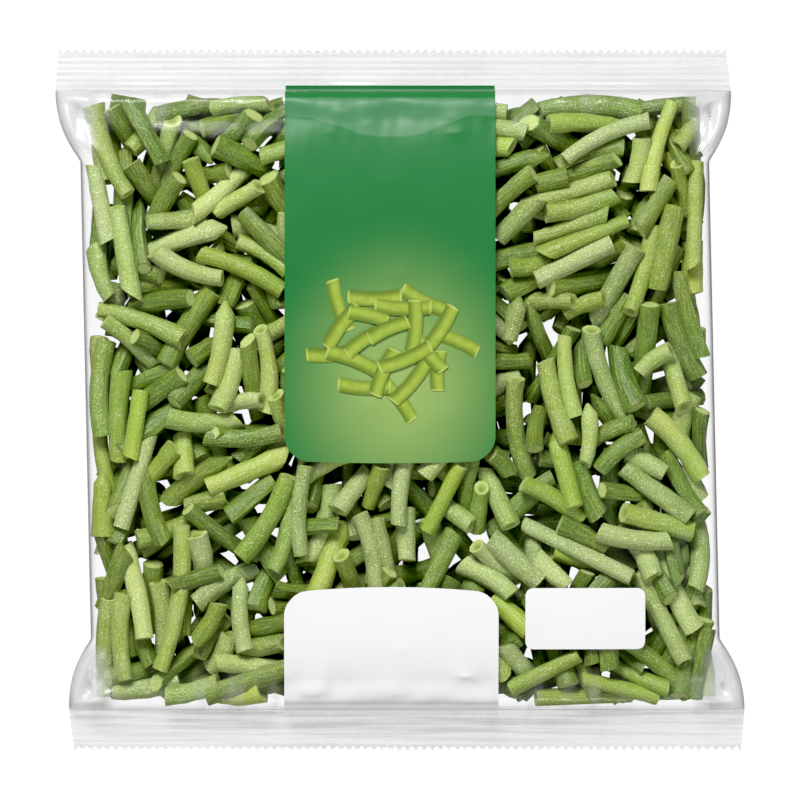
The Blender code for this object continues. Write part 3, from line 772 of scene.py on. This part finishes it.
def crests(x, y, pitch, seed):
    """Soft random waves between -1 and 1, about a pitch apart."""
    rng = np.random.default_rng(seed)
    total = 0
    for _ in range(7):
        way, phase = rng.uniform(0, 2 * pi), rng.uniform(0, 2 * pi)
        stretch = 2 * pi / pitch * rng.uniform(0.6, 1.5)
        total = total + np.sin((x * cos(way) + y * sin(way)) * stretch + phase)
    return total / 4


def half_width(y):
    """Half the width of the flattened tube: it widens to the ears and narrows a little along the seals."""
    short = np.clip((HALF_LENGTH - np.abs(y)) / EAR_REACH, 0, 1)
    seal = np.clip((np.abs(y) - HALF_LENGTH) / (BAG_LENGTH / 2 - HALF_LENGTH), 0, 1)
    pulled_in = (LAY_FLAT_WIDTH / 2 - HALF_WIDTH) * short**2.2
    return LAY_FLAT_WIDTH / 2 - pulled_in - SEAL_NARROWING * seal


def ruffle(x, y):
    """Small wrinkles of the film: some beside the seals, and in each ear straight pleats that fan out."""
    beside_seal = smooth_step(0.086, 0.116, np.abs(y)) * smooth_step(0.122, 0.118, np.abs(y))
    gathers = crests(x, y * 0.12, 0.016, 3) * 0.5 + crests(x, y * 0.3, 0.007, 4) * 0.25
    ear = smooth_step(0.100, 0.118, np.abs(x)) * smooth_step(0.080, 0.108, np.abs(y))
    turn = np.arctan2(np.abs(y) - EAR_ROOT[1], np.abs(x) - EAR_ROOT[0])
    pleats = np.abs(2 * ((turn * 1.3 + crests(x, y, 0.05, 5) * 0.2) % 1) - 1)
    return MM * (beside_seal * gathers * 0.55 + ear * pleats * 0.7 + 0.06 * crests(x, y, 0.022, 6))


def crimped(x, y):
    """The height of the flat seals: fine ridges along them, on a slightly wavy band."""
    into = np.abs(y) - HALF_LENGTH
    ridges = CRIMP_RISE * (2 * np.abs(2 * ((into / CRIMP_PITCH) % 1) - 1) - 1) * smooth_step(0, 0.0012, into)
    return ridges + 0.0005 * smooth_step(0, 0.006, into) * crests(x, y * 0.2, 0.045, 8)


print("a seal has", round((BAG_LENGTH / 2 - HALF_LENGTH) / CRIMP_PITCH), "crimp lines")

# %% Heights of the face and the back


def face_height(x, y):
    """The height of the printed face anywhere on the bag."""
    lean = SKEW * y
    across = (x - lean) / half_width(y)
    shell = SEAL_HEIGHT + CROWN_HEIGHT * swell(across, 4) * swell(y / HALF_LENGTH, 5)
    row, column = square_at(x, y)
    row, column = np.clip(row, 0, COLUMNS - 1.001), np.clip(column, 0, COLUMNS - 1.001)
    r, c = row.astype(int), column.astype(int)
    fr, fc = row - r, column - c
    low = drape[r, c] * (1 - fc) + drape[r, c + 1] * fc
    high = drape[r + 1, c] * (1 - fc) + drape[r + 1, c + 1] * fc
    hung = low * (1 - fr) + high * fr
    from_rim = np.minimum(half_width(y) - np.abs(x - lean), HALF_LENGTH - np.abs(y))
    share = smooth_step(0.003, 0.013, from_rim)
    body = shell * (1 - share) + hung * share + ruffle(x, y) * smooth_step(0, 0.004, from_rim)
    return np.where(np.abs(y) < HALF_LENGTH, np.maximum(body, SEAL_HEIGHT), SEAL_HEIGHT + crimped(x, y))


def back_height(x, y):
    """The height of the back, which lies on the table."""
    across = (x - SKEW * y) / half_width(y)
    flattened = np.minimum(1, 1.15 * swell(across, 5) * swell(y / HALF_LENGTH, 5))
    body = SEAL_HEIGHT * (1 - flattened) + 0.25 * MM + 0.15 * MM * crests(x, y, 0.03, 9)
    seal = SEAL_HEIGHT + crimped(x, y) - 0.1 * MM
    return np.where(np.abs(y) < HALF_LENGTH, np.minimum(body, SEAL_HEIGHT), seal)


middle = np.zeros(1)
thickness = float((face_height(middle, middle) - back_height(middle, middle))[0])
print("with its film draped, the bag is", round(thickness / MM, 1), "mm thick in its middle")

# %% Roll up the film
COLUMNS_ACROSS = 160
SEAL_ROWS = 36
SHOULDER_ROWS = 16
BODY_ROWS = 124
TOOTH_ZONE = 0.0025


def rows_along():
    """Where the film's rings lie along the bag, closer together where it curves down to a seal."""
    middle = np.linspace(-0.9, 0.9, BODY_ROWS + 1) * HALF_LENGTH
    shoulder = np.sin(np.linspace(np.arcsin(0.9**2.5), pi / 2, SHOULDER_ROWS + 1)) ** 0.4 * HALF_LENGTH
    seal = np.linspace(HALF_LENGTH, BAG_LENGTH / 2, SEAL_ROWS + 1)
    end = np.concatenate([shoulder[1:], seal[1:]])
    return np.concatenate([-end[::-1], middle, end])


def columns_across(y):
    """Where a ring's points lie, as shares of the half width, closer together by the side walls."""
    even = np.linspace(-1, 1, COLUMNS_ACROSS + 1)
    outer = np.clip((np.abs(even) - 0.8) / 0.2, 0, 1)
    turn = np.arcsin(0.9**2) + outer * (pi / 2 - np.arcsin(0.9**2))
    walled = np.where(np.abs(even) < 0.8, even * 0.9 / 0.8, np.sign(even) * np.sqrt(np.sin(turn)))
    share = smooth_step(0.105, HALF_LENGTH, np.abs(y))
    return walled * (1 - share) + even * share


def film_piece():
    """The tube: in each ring, front points from left to right and then back points from right to left."""
    rows = rows_along()
    around = 2 * COLUMNS_ACROSS
    bpy.ops.object.select_all(action="DESELECT")
    bpy.ops.mesh.primitive_grid_add(x_subdivisions=around, y_subdivisions=len(rows) - 1, size=1)
    film = bpy.context.object
    film.name = "film"
    grid = np.zeros((len(rows), around + 1, 3))
    for number, y in enumerate(rows):
        share = columns_across(y)
        x = share * half_width(y)
        last = BAG_LENGTH / 2 - abs(y) < 1e-6
        near_end = np.clip(1 - (BAG_LENGTH / 2 - abs(y)) / TOOTH_ZONE, 0, 1)
        teeth = TOOTH_DEPTH * near_end * (np.arange(COLUMNS_ACROSS + 1) % 2)
        ys = y - copysign(1, y) * teeth
        x = x + SKEW * ys
        front, back = face_height(x, ys), back_height(x, ys)
        back[[0, -1]] = front[[0, -1]] = (front[[0, -1]] + back[[0, -1]]) / 2
        if last:
            back = front
        grid[number, : COLUMNS_ACROSS + 1] = np.stack([x, ys, front], axis=1)
        grid[number, COLUMNS_ACROSS:] = np.stack([x, ys, back], axis=1)[::-1]
    film.data.vertices.foreach_set("co", grid.reshape(-1, 3).ravel())
    bpy.ops.object.mode_set(mode="EDIT")
    bpy.ops.mesh.select_all(action="SELECT")
    bpy.ops.mesh.remove_doubles(threshold=0.00001)
    bpy.ops.mesh.normals_make_consistent(inside=False)
    bpy.ops.object.mode_set(mode="OBJECT")
    bpy.ops.object.shade_smooth_by_angle(angle=radians(55))
    return film


film = film_piece()
places = np.array([v.co for v in film.data.vertices])
seal_share = smooth_step(HALF_LENGTH - 0.002, HALF_LENGTH + 0.001, np.abs(places[:, 1]))
ear_share = smooth_step(0.092, 0.100, np.abs(places[:, 1])) * (1 - seal_share)
ear_share *= smooth_step(0.112, 0.120, np.abs(places[:, 0] - SKEW * places[:, 1]))
for label, values in (("seal", seal_share), ("ear", ear_share)):
    attribute = film.data.attributes.new(label, "FLOAT", "POINT")
    attribute.data.foreach_set("value", values.astype(np.float32))
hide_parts("bag_film")
print("the film has", len(film.data.polygons), "faces")

# %% [markdown]
# ## The lengthwise weld
#
# The tube was made from a flat web of film, so a narrow strip runs down the middle of the back, where its
# two edges are welded together. It is a strip of the same film, laid just inside the back.

# %% Weld the back
WELD_WIDTH = 0.012
WELD_LIFT = 0.00015


def back_weld():
    bpy.ops.object.select_all(action="DESELECT")
    bpy.ops.mesh.primitive_grid_add(x_subdivisions=8, y_subdivisions=90, size=2)
    weld = bpy.context.object
    weld.name = "back_weld"
    points = np.array([v.co for v in weld.data.vertices])
    y = points[:, 1] * (HALF_LENGTH - 0.001)
    x = points[:, 0] * WELD_WIDTH / 2 + SKEW * y
    heights = back_height(x, y) + WELD_LIFT
    weld.data.vertices.foreach_set("co", np.stack([x, y, heights], axis=1).ravel())
    for label, value in (("seal", 0.5), ("ear", 0.0)):
        attribute = weld.data.attributes.new(label, "FLOAT", "POINT")
        attribute.data.foreach_set("value", np.full(len(points), value, np.float32))
    weld.data.update()
    weld.data.shade_smooth()
    return weld


weld = back_weld()
print("the weld has", len(weld.data.polygons), "faces")

# %% [markdown]
# ## The print
#
# The face carries a green panel with round lower corners, a white one at the foot, and a small white plate
# at the lower right. They are ink on the film, so each is a sheet that follows it a hair's breadth above:
# a grid, with its corner squares drawn in to arcs, laid on the film's height. A heap of cut beans is
# printed on the green panel, to say what is inside. Each of them is a small sheet too.

# %% Lay the printed panels on the film
PRINT_LIFT = 0.00012
GREEN_PANEL = (-0.0440, 0.0364, -0.0232, 0.1210)
WHITE_PANEL = (-0.0442, 0.0376, -0.1213, -0.0737)
SMALL_PLATE = (0.0478, 0.0936, -0.0951, -0.0717)


def rounded(u, v, width, height, corners):
    """Points of a sheet with some of its corners drawn in to arcs: corners holds (side, end, radius)."""
    x, y = u * width / 2, v * height / 2
    for side, end, radius in corners:
        dx, dy = side * x - (width / 2 - radius), end * y - (height / 2 - radius)
        inside = (dx > 0) & (dy > 0)
        pull = np.where(inside, np.maximum(dx, dy) / np.maximum(np.hypot(dx, dy), 1e-9), 1)
        x = np.where(inside, side * (width / 2 - radius + dx * pull), x)
        y = np.where(inside, end * (height / 2 - radius + dy * pull), y)
    return x, y


def print_piece(name, box, corners, cells, top_bow=0.0, foot_bow=0.0):
    """A printed sheet on the film. The bows are how far its top and foot edges arch in their middles."""
    left, right, bottom, top = box
    bpy.ops.object.select_all(action="DESELECT")
    bpy.ops.mesh.primitive_grid_add(x_subdivisions=cells[0], y_subdivisions=cells[1], size=2)
    sheet = bpy.context.object
    sheet.name = name
    points = np.array([v.co for v in sheet.data.vertices])
    x, y = rounded(points[:, 0], points[:, 1], right - left, top - bottom, corners)
    x, y = x + (left + right) / 2, y + (top + bottom) / 2
    up, down = np.clip(points[:, 1], 0, 1), np.clip(-points[:, 1], 0, 1)
    y = y + (top_bow * up - foot_bow * down) * (1 - points[:, 0] ** 2)
    heights = face_height(x, y) + PRINT_LIFT + 0.3 * MM * smooth_step(0.116, 0.1185, np.abs(y))
    sheet.data.vertices.foreach_set("co", np.stack([x, y, heights], axis=1).ravel())
    sheet.data.update()
    sheet.data.shade_smooth()
    return sheet


foot_corners = [(side, -1, 0.0095) for side in (-1, 1)]
top_corners = [(side, 1, 0.0085) for side in (-1, 1)]
plate_corners = [(side, end, 0.003) for side in (-1, 1) for end in (-1, 1)]
green_panel = print_piece("green_panel", GREEN_PANEL, foot_corners, (60, 220), foot_bow=0.0009)
white_panel = print_piece("white_panel", WHITE_PANEL, top_corners, (60, 76), top_bow=0.0024)
small_plate = print_piece("small_plate", SMALL_PLATE, plate_corners, (36, 20))
print("laid three printed panels")

# %% A heap of plain cut beans, printed on the green panel
PRINTED_BEANS = 20
PRINTED_WIDTH = 0.0054
HEAP_MIDDLE = (-0.0040, 0.0215)


def printed_bean(number, x, y, heading, length):
    """One printed bean: a strip with round ends that bends a little, one sheet above the last."""
    bpy.ops.object.select_all(action="DESELECT")
    bpy.ops.mesh.primitive_grid_add(x_subdivisions=6, y_subdivisions=18, size=2)
    bean = bpy.context.object
    bean.name = f"printed_bean_{number:02d}"
    u, v, _ = np.array([p.co for p in bean.data.vertices]).T
    corners = [(side, end, 0.0009) for side in (-1, 1) for end in (-1, 1)]
    side, forward = rounded(u, v, PRINTED_WIDTH, length, corners)
    side = side + 0.05 * length * (1 - v**2) * (1 if number % 2 else -1)
    px = x + forward * cos(heading) - side * sin(heading)
    py = y + forward * sin(heading) + side * cos(heading)
    heights = face_height(px, py) + PRINT_LIFT * (2 + 0.35 * number)
    bean.data.vertices.foreach_set("co", np.stack([px, py, heights], axis=1).ravel())
    for label, values in (("across", u), ("along", v)):
        attribute = bean.data.attributes.new(label, "FLOAT", "POINT")
        attribute.data.foreach_set("value", values.astype(np.float32))
    bean.data.shade_smooth()
    return bean


printed = []
scatter = np.random.default_rng(SEED + 2)
for number in range(PRINTED_BEANS):
    turn, far = number * 2.4, 0.0235 * sqrt((PRINTED_BEANS - number) / PRINTED_BEANS)
    x, y = HEAP_MIDDLE[0] + 1.1 * far * cos(turn), HEAP_MIDDLE[1] + 0.95 * far * sin(turn)
    printed.append(printed_bean(number, x, y, scatter.uniform(0, pi), scatter.uniform(0.015, 0.022)))
print("printed", len(printed), "beans")

# %% [markdown]
# ## A shorthand for shader maths
#
# Materials here are built from nodes. To keep them readable, one small class wraps a node's output, so
# that adding two of them with + makes a Math node, and one method adds any other node.

# %% Shader shorthand


class Wire:
    """A node's output that can be used in sums."""

    def __init__(self, tree, socket):
        self.tree, self.socket = tree, socket

    def math(self, operation, *values):
        node = self.tree.nodes.new("ShaderNodeMath")
        node.operation = operation
        for slot, value in zip(node.inputs, values):
            plug(self.tree, slot, value)
        return Wire(self.tree, node.outputs[0])

    def __add__(self, other):
        return self.math("ADD", self, other)

    def __radd__(self, other):
        return self.math("ADD", other, self)

    def __sub__(self, other):
        return self.math("SUBTRACT", self, other)

    def __rsub__(self, other):
        return self.math("SUBTRACT", other, self)

    def __mul__(self, other):
        return self.math("MULTIPLY", self, other)

    def __rmul__(self, other):
        return self.math("MULTIPLY", other, self)

    def __truediv__(self, other):
        return self.math("DIVIDE", self, other)

    def __pow__(self, other):
        return self.math("POWER", self, other)

    def __abs__(self):
        return self.math("ABSOLUTE", self)

    def clamped(self):
        return self.math("MINIMUM", self.math("MAXIMUM", self, 0.0), 1.0)

    def between(self, low, high):
        """0 below low, 1 above high, and a smooth rise from one to the other."""
        node = self.tree.nodes.new("ShaderNodeMapRange")
        node.interpolation_type = "SMOOTHSTEP"
        plug(self.tree, node.inputs["Value"], self)
        node.inputs["From Min"].default_value = low
        node.inputs["From Max"].default_value = high
        return Wire(self.tree, node.outputs["Result"])


def plug(tree, slot, value):
    """Links a wire to a node's input, or sets the input to a number or a colour."""
    if isinstance(value, Wire):
        tree.links.new(value.socket, slot)
    elif isinstance(value, (tuple, list)) and len(value) == 3 and slot.type == "RGBA":
        slot.default_value = (*value, 1)
    else:
        slot.default_value = value


class Finish:
    """A material under construction."""

    def __init__(self, name):
        self.material = bpy.data.materials.new(name)
        self.material.use_nodes = True
        self.tree = self.material.node_tree
        self.shader = self.tree.nodes["Principled BSDF"]
        self.output = self.tree.nodes["Material Output"]

    def node(self, kind, out=0, settings=None, **values):
        """Adds any node: settings first, then the values or links of its inputs.

        An input goes by its name, with _ for a space, or by its number, as in i0.
        """
        node = self.tree.nodes.new("ShaderNode" + kind)
        for key, value in (settings or {}).items():
            setattr(node, key, value)
        for key, value in values.items():
            numbered = key[0] == "i" and key[1:].isdigit()
            slot = node.inputs[int(key[1:]) if numbered else key.replace("_", " ")]
            plug(self.tree, slot, value)
        return Wire(self.tree, node.outputs[out])

    def attribute(self, name, out="Fac"):
        return self.node("Attribute", out, {"attribute_name": name})

    def parts(self, vector):
        """The x, y and z of a vector."""
        first = self.node("SeparateXYZ", "X", Vector=vector)
        return [Wire(self.tree, first.socket.node.outputs[axis]) for axis in "XYZ"]

    def scaled(self, vector, factors):
        return self.node("VectorMath", 0, {"operation": "MULTIPLY"}, i0=vector, i1=factors)

    def noise(self, vector, scale, detail=3.0, roughness=0.5):
        return self.node("TexNoise", "Fac", Vector=vector, Scale=scale, Detail=detail, Roughness=roughness)

    def mix(self, share, first, second):
        node = self.tree.nodes.new("ShaderNodeMix")
        node.data_type = "RGBA"
        plug(self.tree, node.inputs[0], share)
        plug(self.tree, node.inputs[6], first)
        plug(self.tree, node.inputs[7], second)
        return Wire(self.tree, node.outputs[2])

    def set(self, **values):
        for key, value in values.items():
            plug(self.tree, self.shader.inputs[key.replace("_", " ")], value)

    def bump(self, height, strength, distance):
        node = self.node("Bump", "Normal", Height=height, Strength=strength, Distance=distance)
        self.set(Normal=node)


print("shader shorthand is ready")

# %% [markdown]
# ## Frosted bean skin
#
# Frozen beans are dusted with fine frost. Under it the skin runs from deep green to yellow green, with
# faint streaks along the pod, and here and there it is a fresher green. The cut faces are paler, with a
# darker seed hollow. The streaks are noise that is stretched along each bean, read from the grain that
# every bean carries on its points. The frost is a pale bloom in patches, and on it tiny specks of ice.

# %% The bean finish
DEEP_GREEN = (0.070, 0.133, 0.007)
MID_GREEN = (0.206, 0.296, 0.021)
YELLOW_GREEN = (0.430, 0.512, 0.055)
# In places the skin is a fresher green: its colour times this
FRESHER = (0.83, 0.97, 0.86)
BLOOM = (0.49, 0.57, 0.27)
ICE = (0.84, 0.90, 0.62)
FLESH = (0.42, 0.52, 0.14)
FROSTED_FLESH = (0.64, 0.72, 0.34)
SEED_HOLLOW = (0.26, 0.34, 0.05)


def bean_finish():
    finish = Finish("frosted_bean")
    grain = finish.attribute("grain", "Vector")
    tint_and_shade, frost, flesh = finish.attribute("tint_and_shade"), finish.attribute("frost"), finish.attribute("flesh")
    place = finish.node("TexCoord", "Object")
    streaks = finish.noise(finish.scaled(grain, (2.2, 2.2, 0.22)), 2.4, 3.0)
    patches = finish.noise(place, 95.0, 3.0, 0.6)
    specks = finish.noise(place, 1900.0, 2.0, 0.6)
    lower = finish.mix((tint_and_shade * 2.0).clamped(), DEEP_GREEN, MID_GREEN)
    skin = finish.mix((tint_and_shade * 2.0 - 1.0).clamped(), lower, YELLOW_GREEN)
    skin = finish.mix(streaks.between(0.40, 0.72) * 0.36, skin, YELLOW_GREEN)
    fresher = finish.scaled(skin, FRESHER)
    skin = finish.mix(finish.noise(place, 26.0, 1.0).between(0.44, 0.60), skin, fresher)
    bloom = (patches * 0.6 + frost * 0.7).between(0.42, 1.0) * 0.55
    skin = finish.mix(bloom, skin, BLOOM)
    crystals = specks.between(0.54, 0.67) * (frost * 0.62 + 0.28)
    skin = finish.mix(crystals, skin, ICE)
    pale = finish.mix(specks.between(0.4, 0.7), FLESH, FROSTED_FLESH)
    cut = finish.mix((flesh - 1.0).clamped(), pale, SEED_HOLLOW)
    finish.set(Base_Color=finish.mix(flesh.clamped(), skin, cut))
    finish.set(Roughness=bloom * 0.5 + 0.42)
    finish.shader.inputs["Specular IOR Level"].default_value = 0.5
    finish.shader.inputs["Sheen Weight"].default_value = 0.15
    finish.shader.inputs["Sheen Roughness"].default_value = 0.40
    finish.shader.inputs["Sheen Tint"].default_value = (0.85, 1.0, 0.60, 1)
    finish.bump(specks * 0.35 + streaks * 0.9 + patches * 0.9, 0.6, 0.0008)
    return finish.material


bean_material = bean_finish()
for piece in bean_pieces:
    piece.data.materials.append(bean_material)
print("dusted the beans")

# %% [markdown]
# ## Clear film
#
# Film hardly hides what is behind it. It shows by its gloss, as its wrinkles catch the lamps, and by a
# thin milky haze that is strongest in the crimped seals, where many small faces scatter the light. So it
# is a clear surface mixed with a glossy one. The share of the glossy one is small over the beans, and
# grows with the haze and where we look along the film. Its colour goes from black, which only shines, to
# a milky white. Some of that white is painted light: faint patches over the beans are a painted
# reflection, the haze lines along the crimps and in the ear folds are partly painted shade, and the
# greyer white is painted shade on the side walls and partly painted shade in the ears. The film shines
# less in the ears.

# %% The film finish
GLOSS_SHARE = 0.045
FILM_IOR = 1.8
SEAL_MILK = (0.74, 0.745, 0.75)
# The ears' grey is partly the double film and partly painted shade, as the ear hangs above the table
EAR_MILK_AND_SHADE = (0.64, 0.645, 0.65)
# Painted shade: the darker grey of the side walls
WALL_SHADE_GREY = (0.45, 0.455, 0.46)


def film_finish():
    finish = Finish("clear_film")
    place = finish.node("TexCoord", "Object")
    seal, ear = finish.attribute("seal"), finish.attribute("ear")
    # Painted reflection: faint milky patches over the beans
    painted_veil = finish.noise(place, 16.0, 4.0, 0.6).between(0.52, 0.80)
    scuffs = finish.noise(place, 60.0, 4.0, 0.6).between(0.5, 0.8)
    _, _, upright = finish.parts(finish.node("NewGeometry", "Normal"))
    # Painted shade: where the film faces sideways, on the side walls, it gets more haze in a darker grey
    wall = (1.0 - abs(upright)).between(0.25, 1.0)
    grazing = finish.node("LayerWeight", "Facing", Blend=0.5)
    gloss = GLOSS_SHARE * (1.0 - ear * 0.5)
    across, along, _ = finish.parts(place)
    depth = abs(along)
    # Haze lines along the crimps, partly painted shade of their ridges
    lines = finish.node("CombineXYZ", X=across * 0.03, Y=along)
    crimp_haze_and_shade = finish.noise(lines, 520.0, 2.0).between(0.40, 0.62)
    teeth = depth.between(HALF_LENGTH + 0.0125, HALF_LENGTH + 0.0140)
    drawn = finish.node("CombineXYZ", X=across, Y=along * 0.16)
    pleats = finish.noise(drawn, 75.0, 2.0).between(0.50, 0.66)
    # Thin haze lines in the ear folds, partly painted shade in the creases
    crease_haze_and_shade = finish.noise(place, 34.0, 2.0, 0.4)
    crease_haze_and_shade = 1.0 - abs(crease_haze_and_shade - 0.5).between(0.0, 0.035)
    gather = depth.between(0.100, 0.113) * (1.0 - seal)
    cloudy_and_shaded = seal * (crimp_haze_and_shade * 0.16 + pleats * 0.03 + teeth * 0.14 + 0.18) + ear * (crease_haze_and_shade * 0.10 + 0.46)
    haze_and_painted_light = painted_veil * 0.020 + scuffs * 0.004 + cloudy_and_shaded + gather * (pleats * 0.14 + 0.02)
    haze_and_painted_light = (haze_and_painted_light + wall * 0.24 * (1.0 - seal)).clamped()
    milk_and_shade = finish.mix(ear, SEAL_MILK, EAR_MILK_AND_SHADE)
    milk_and_shade = finish.mix(wall * (1.0 - ear) * (1.0 - seal), milk_and_shade, WALL_SHADE_GREY)
    milky = haze_and_painted_light / (haze_and_painted_light + gloss)
    finish.set(Base_Color=finish.mix(milky, (0.0, 0.0, 0.0), milk_and_shade))
    finish.set(Roughness=0.16 + ear * 0.24, Coat_Weight=1.0 - ear * 0.85)
    finish.shader.inputs["IOR"].default_value = FILM_IOR
    finish.shader.inputs["Coat Roughness"].default_value = 0.10
    finish.shader.inputs["Coat IOR"].default_value = FILM_IOR
    clear = finish.node("BsdfTransparent", Color=(1.0, 1.0, 1.0))
    calm = (1.0 - ear) * (1.0 - depth.between(0.112, 0.117))
    shine = gloss + grazing**3.0 * calm * 0.8
    glossy = Wire(finish.tree, finish.shader.outputs[0])
    seen = finish.node("MixShader", i0=(haze_and_painted_light + shine).clamped(), i1=clear, i2=glossy)
    finish.tree.links.new(seen.socket, finish.output.inputs[0])
    return finish.material


clear_film = film_finish()
film.data.materials.append(clear_film)
weld.data.materials.append(clear_film)
print("made the film clear")

# %% [markdown]
# ## Ink
#
# The green panel is deep at its edges and lighter in a soft round glow behind the printed beans. Near its
# top it has a faint wavy painted sheen, a lighter band that stands for the film's reflection where the
# film bends down to the seal. The white panel has painted shade that turns it a little grey towards the
# foot, where the film curves away, and painted light that makes it bright again on the seal. The small
# plate is plain. The ink lies on the outside of the film and shines little. Each printed bean is lighter
# along its middle and at its cut ends, which makes it look round though it is flat.

# %% The printed finishes
DEEP_PANEL_GREEN = (0.0135, 0.150, 0.036)
GLOW_GREEN = (0.240, 0.355, 0.105)
GLOW_MIDDLE = (0.0, 0.0055, 0.031)
GLOW_RADIUS = 0.067


def ink(name, colour_at):
    """A printed finish: colour_at makes its colour from the finish and the place."""
    finish = Finish(name)
    place = finish.node("TexCoord", "Object")
    finish.set(Base_Color=colour_at(finish, place), Roughness=0.42)
    finish.shader.inputs["Specular IOR Level"].default_value = 0.25
    return finish.material


def green_ink(finish, place):
    off = finish.node("VectorMath", 0, {"operation": "SUBTRACT"}, i0=place, i1=GLOW_MIDDLE)
    far = finish.node("VectorMath", "Value", {"operation": "LENGTH"}, i0=finish.scaled(off, (1.2, 1.0, 1.0)))
    glow = 1.0 - far.between(0.0, GLOW_RADIUS)
    printed_green = finish.mix(glow, DEEP_PANEL_GREEN, GLOW_GREEN)
    across, along, _ = finish.parts(place)
    # Painted sheen: a faint lighter band near the top, standing for the film's reflection
    wavy = finish.noise(finish.node("CombineXYZ", X=across), 55.0, 2.0) * 0.004
    dip = (1.0 - abs(across + 0.004).between(0.004, 0.034)) * 0.0075
    low_edge = (along - wavy + dip).between(0.1056, 0.1066)
    painted_sheen = low_edge * (1.0 - (along + wavy * 0.3).between(0.1156, 0.1166))
    return finish.mix(painted_sheen * 0.05, printed_green, (0.90, 1.0, 0.95))


def white_ink(finish, place):
    _, along, _ = finish.parts(place)
    # Painted shade greys the ink towards the foot, and painted light brightens it again on the seal
    shoulder = 1.0 - along.between(-0.1135, -0.104)
    painted_light_on_seal = 1.0 - along.between(-0.1172, -0.1156)
    shaded = finish.mix(shoulder, (0.69, 0.69, 0.69), (0.595, 0.595, 0.60))
    return finish.mix(painted_light_on_seal, shaded, (0.97, 0.97, 0.97))


def bean_ink(finish, place):
    across, along = finish.attribute("across"), finish.attribute("along")
    rim = abs(across + 0.2).between(0.1, 1.1)
    end = abs(along).between(0.90, 0.94)
    shade = finish.noise(place, 420.0, 2.0)
    body = finish.mix(shade, (0.19, 0.285, 0.03), (0.34, 0.43, 0.07))
    body = finish.mix(rim * 0.85, body, (0.085, 0.145, 0.015))
    return finish.mix(end * 0.5, body, (0.42, 0.52, 0.14))


green_panel.data.materials.append(ink("green_ink", green_ink))
white_material = ink("white_ink", white_ink)
white_panel.data.materials.append(white_material)
small_plate.data.materials.append(ink("plate_ink", lambda finish, place: (0.70, 0.70, 0.70)))
printed_material = ink("bean_ink", bean_ink)
for bean in printed:
    bean.data.materials.append(printed_material)
print("inked the panels")

# %% [markdown]
# ## Everything rides on the bag
#
# The bag has no moving parts, so every piece belongs to its one body.

# %% Join the pieces to the frame
slots = ["bean_green", "bean_light_green", "bean_dark_green"]
for count, piece in enumerate(bean_pieces, 1):
    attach(piece, "root")
    slots[count % 3] if count <= len(clumps) else "bean_green"
for piece in [film, weld, green_panel, white_panel, small_plate] + printed:
    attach(piece, "root")
print("joined", len(bean_pieces) + 5 + len(printed), "pieces to the frame")

# %% [markdown]
# ## Studio
#
# The bag lies on a white table under four soft lamps. The strong one stands beyond the bag's top edge, so
# that the beans get a lit side and a dark one and the wrinkles of the film catch light. The weaker ones
# stand at the foot, the right and the left. The camera sees the table and the world as even white, but
# to the beans both are dim, so the gaps between them stay dark. The camera hangs straight over the
# middle, with a long lens, and the black level deepens the shadows a little.

# %% Floor, lamps and camera
# The photo is this wide, at this height above the table
VIEW_WIDTH = 0.3068
VIEW_PLANE = 0.020
CAMERA_HEIGHT = 2.0
SENSOR_WIDTH = 36
BLACK_LEVEL = 0.010

bpy.ops.object.select_all(action="DESELECT")
bpy.ops.mesh.primitive_plane_add(size=6, location=(0, 0, -0.0004))
floor = bpy.context.object
floor.name = "floor"
paper = Finish("white_paper")
paper.set(Base_Color=(0.26, 0.26, 0.26), Roughness=0.9)
seen = paper.node("LightPath", "Is Camera Ray")
lit = paper.node("Emission", Color=(1.0, 1.0, 1.0), Strength=1.03)
table = paper.node("MixShader", i0=seen, i1=Wire(paper.tree, paper.shader.outputs[0]), i2=lit)
paper.tree.links.new(table.socket, paper.output.inputs[0])
floor.data.materials.append(paper.material)

world = bpy.data.worlds.new("studio")
bpy.context.scene.world = world
world.use_nodes = True
background = world.node_tree.nodes["Background"]
background.inputs["Color"].default_value = (1.0, 1.0, 1.0, 1)


class Sky(Finish):
    """The same shorthand, for the nodes of the world."""

    def __init__(self, world):
        self.tree = world.node_tree


sky = Sky(world)
plug(sky.tree, background.inputs["Strength"], sky.node("LightPath", "Is Camera Ray") * 0.96 + 0.07)


def lamp(name, place, size, power):
    """A soft lamp that faces the bag."""
    data = bpy.data.lights.new(name, "AREA")
    data.shape = "RECTANGLE"
    data.size, data.size_y = size
    data.energy = power
    made = bpy.data.objects.new(name, data)
    bpy.context.scene.collection.objects.link(made)
    made.location = place
    made.rotation_euler = (Vector((0, 0, 0)) - Vector(place)).to_track_quat("-Z", "Y").to_euler()
    return made


lamp("top_softbox", (-0.35, 1.10, 1.25), (0.8, 0.6), 39)
lamp("foot_softbox", (0.3, -1.3, 1.1), (0.8, 0.5), 8)
lamp("right_softbox", (1.25, -0.1, 0.9), (0.6, 0.9), 6)
lamp("left_softbox", (-1.2, -0.5, 1.0), (0.6, 0.9), 6)

camera_data = bpy.data.cameras.new("camera")
camera_data.sensor_width = SENSOR_WIDTH
camera_data.lens = SENSOR_WIDTH * (CAMERA_HEIGHT - VIEW_PLANE) / VIEW_WIDTH
camera_data.clip_end = 50
camera = bpy.data.objects.new("camera", camera_data)
camera.location = (0, 0, CAMERA_HEIGHT)
bpy.context.scene.collection.objects.link(camera)
bpy.context.scene.camera = camera
view = bpy.context.scene.view_settings
view.view_transform = "Standard"
view.use_curve_mapping = True
view.curve_mapping.black_level = [BLACK_LEVEL] * 3
view.curve_mapping.update()
print("set the studio")
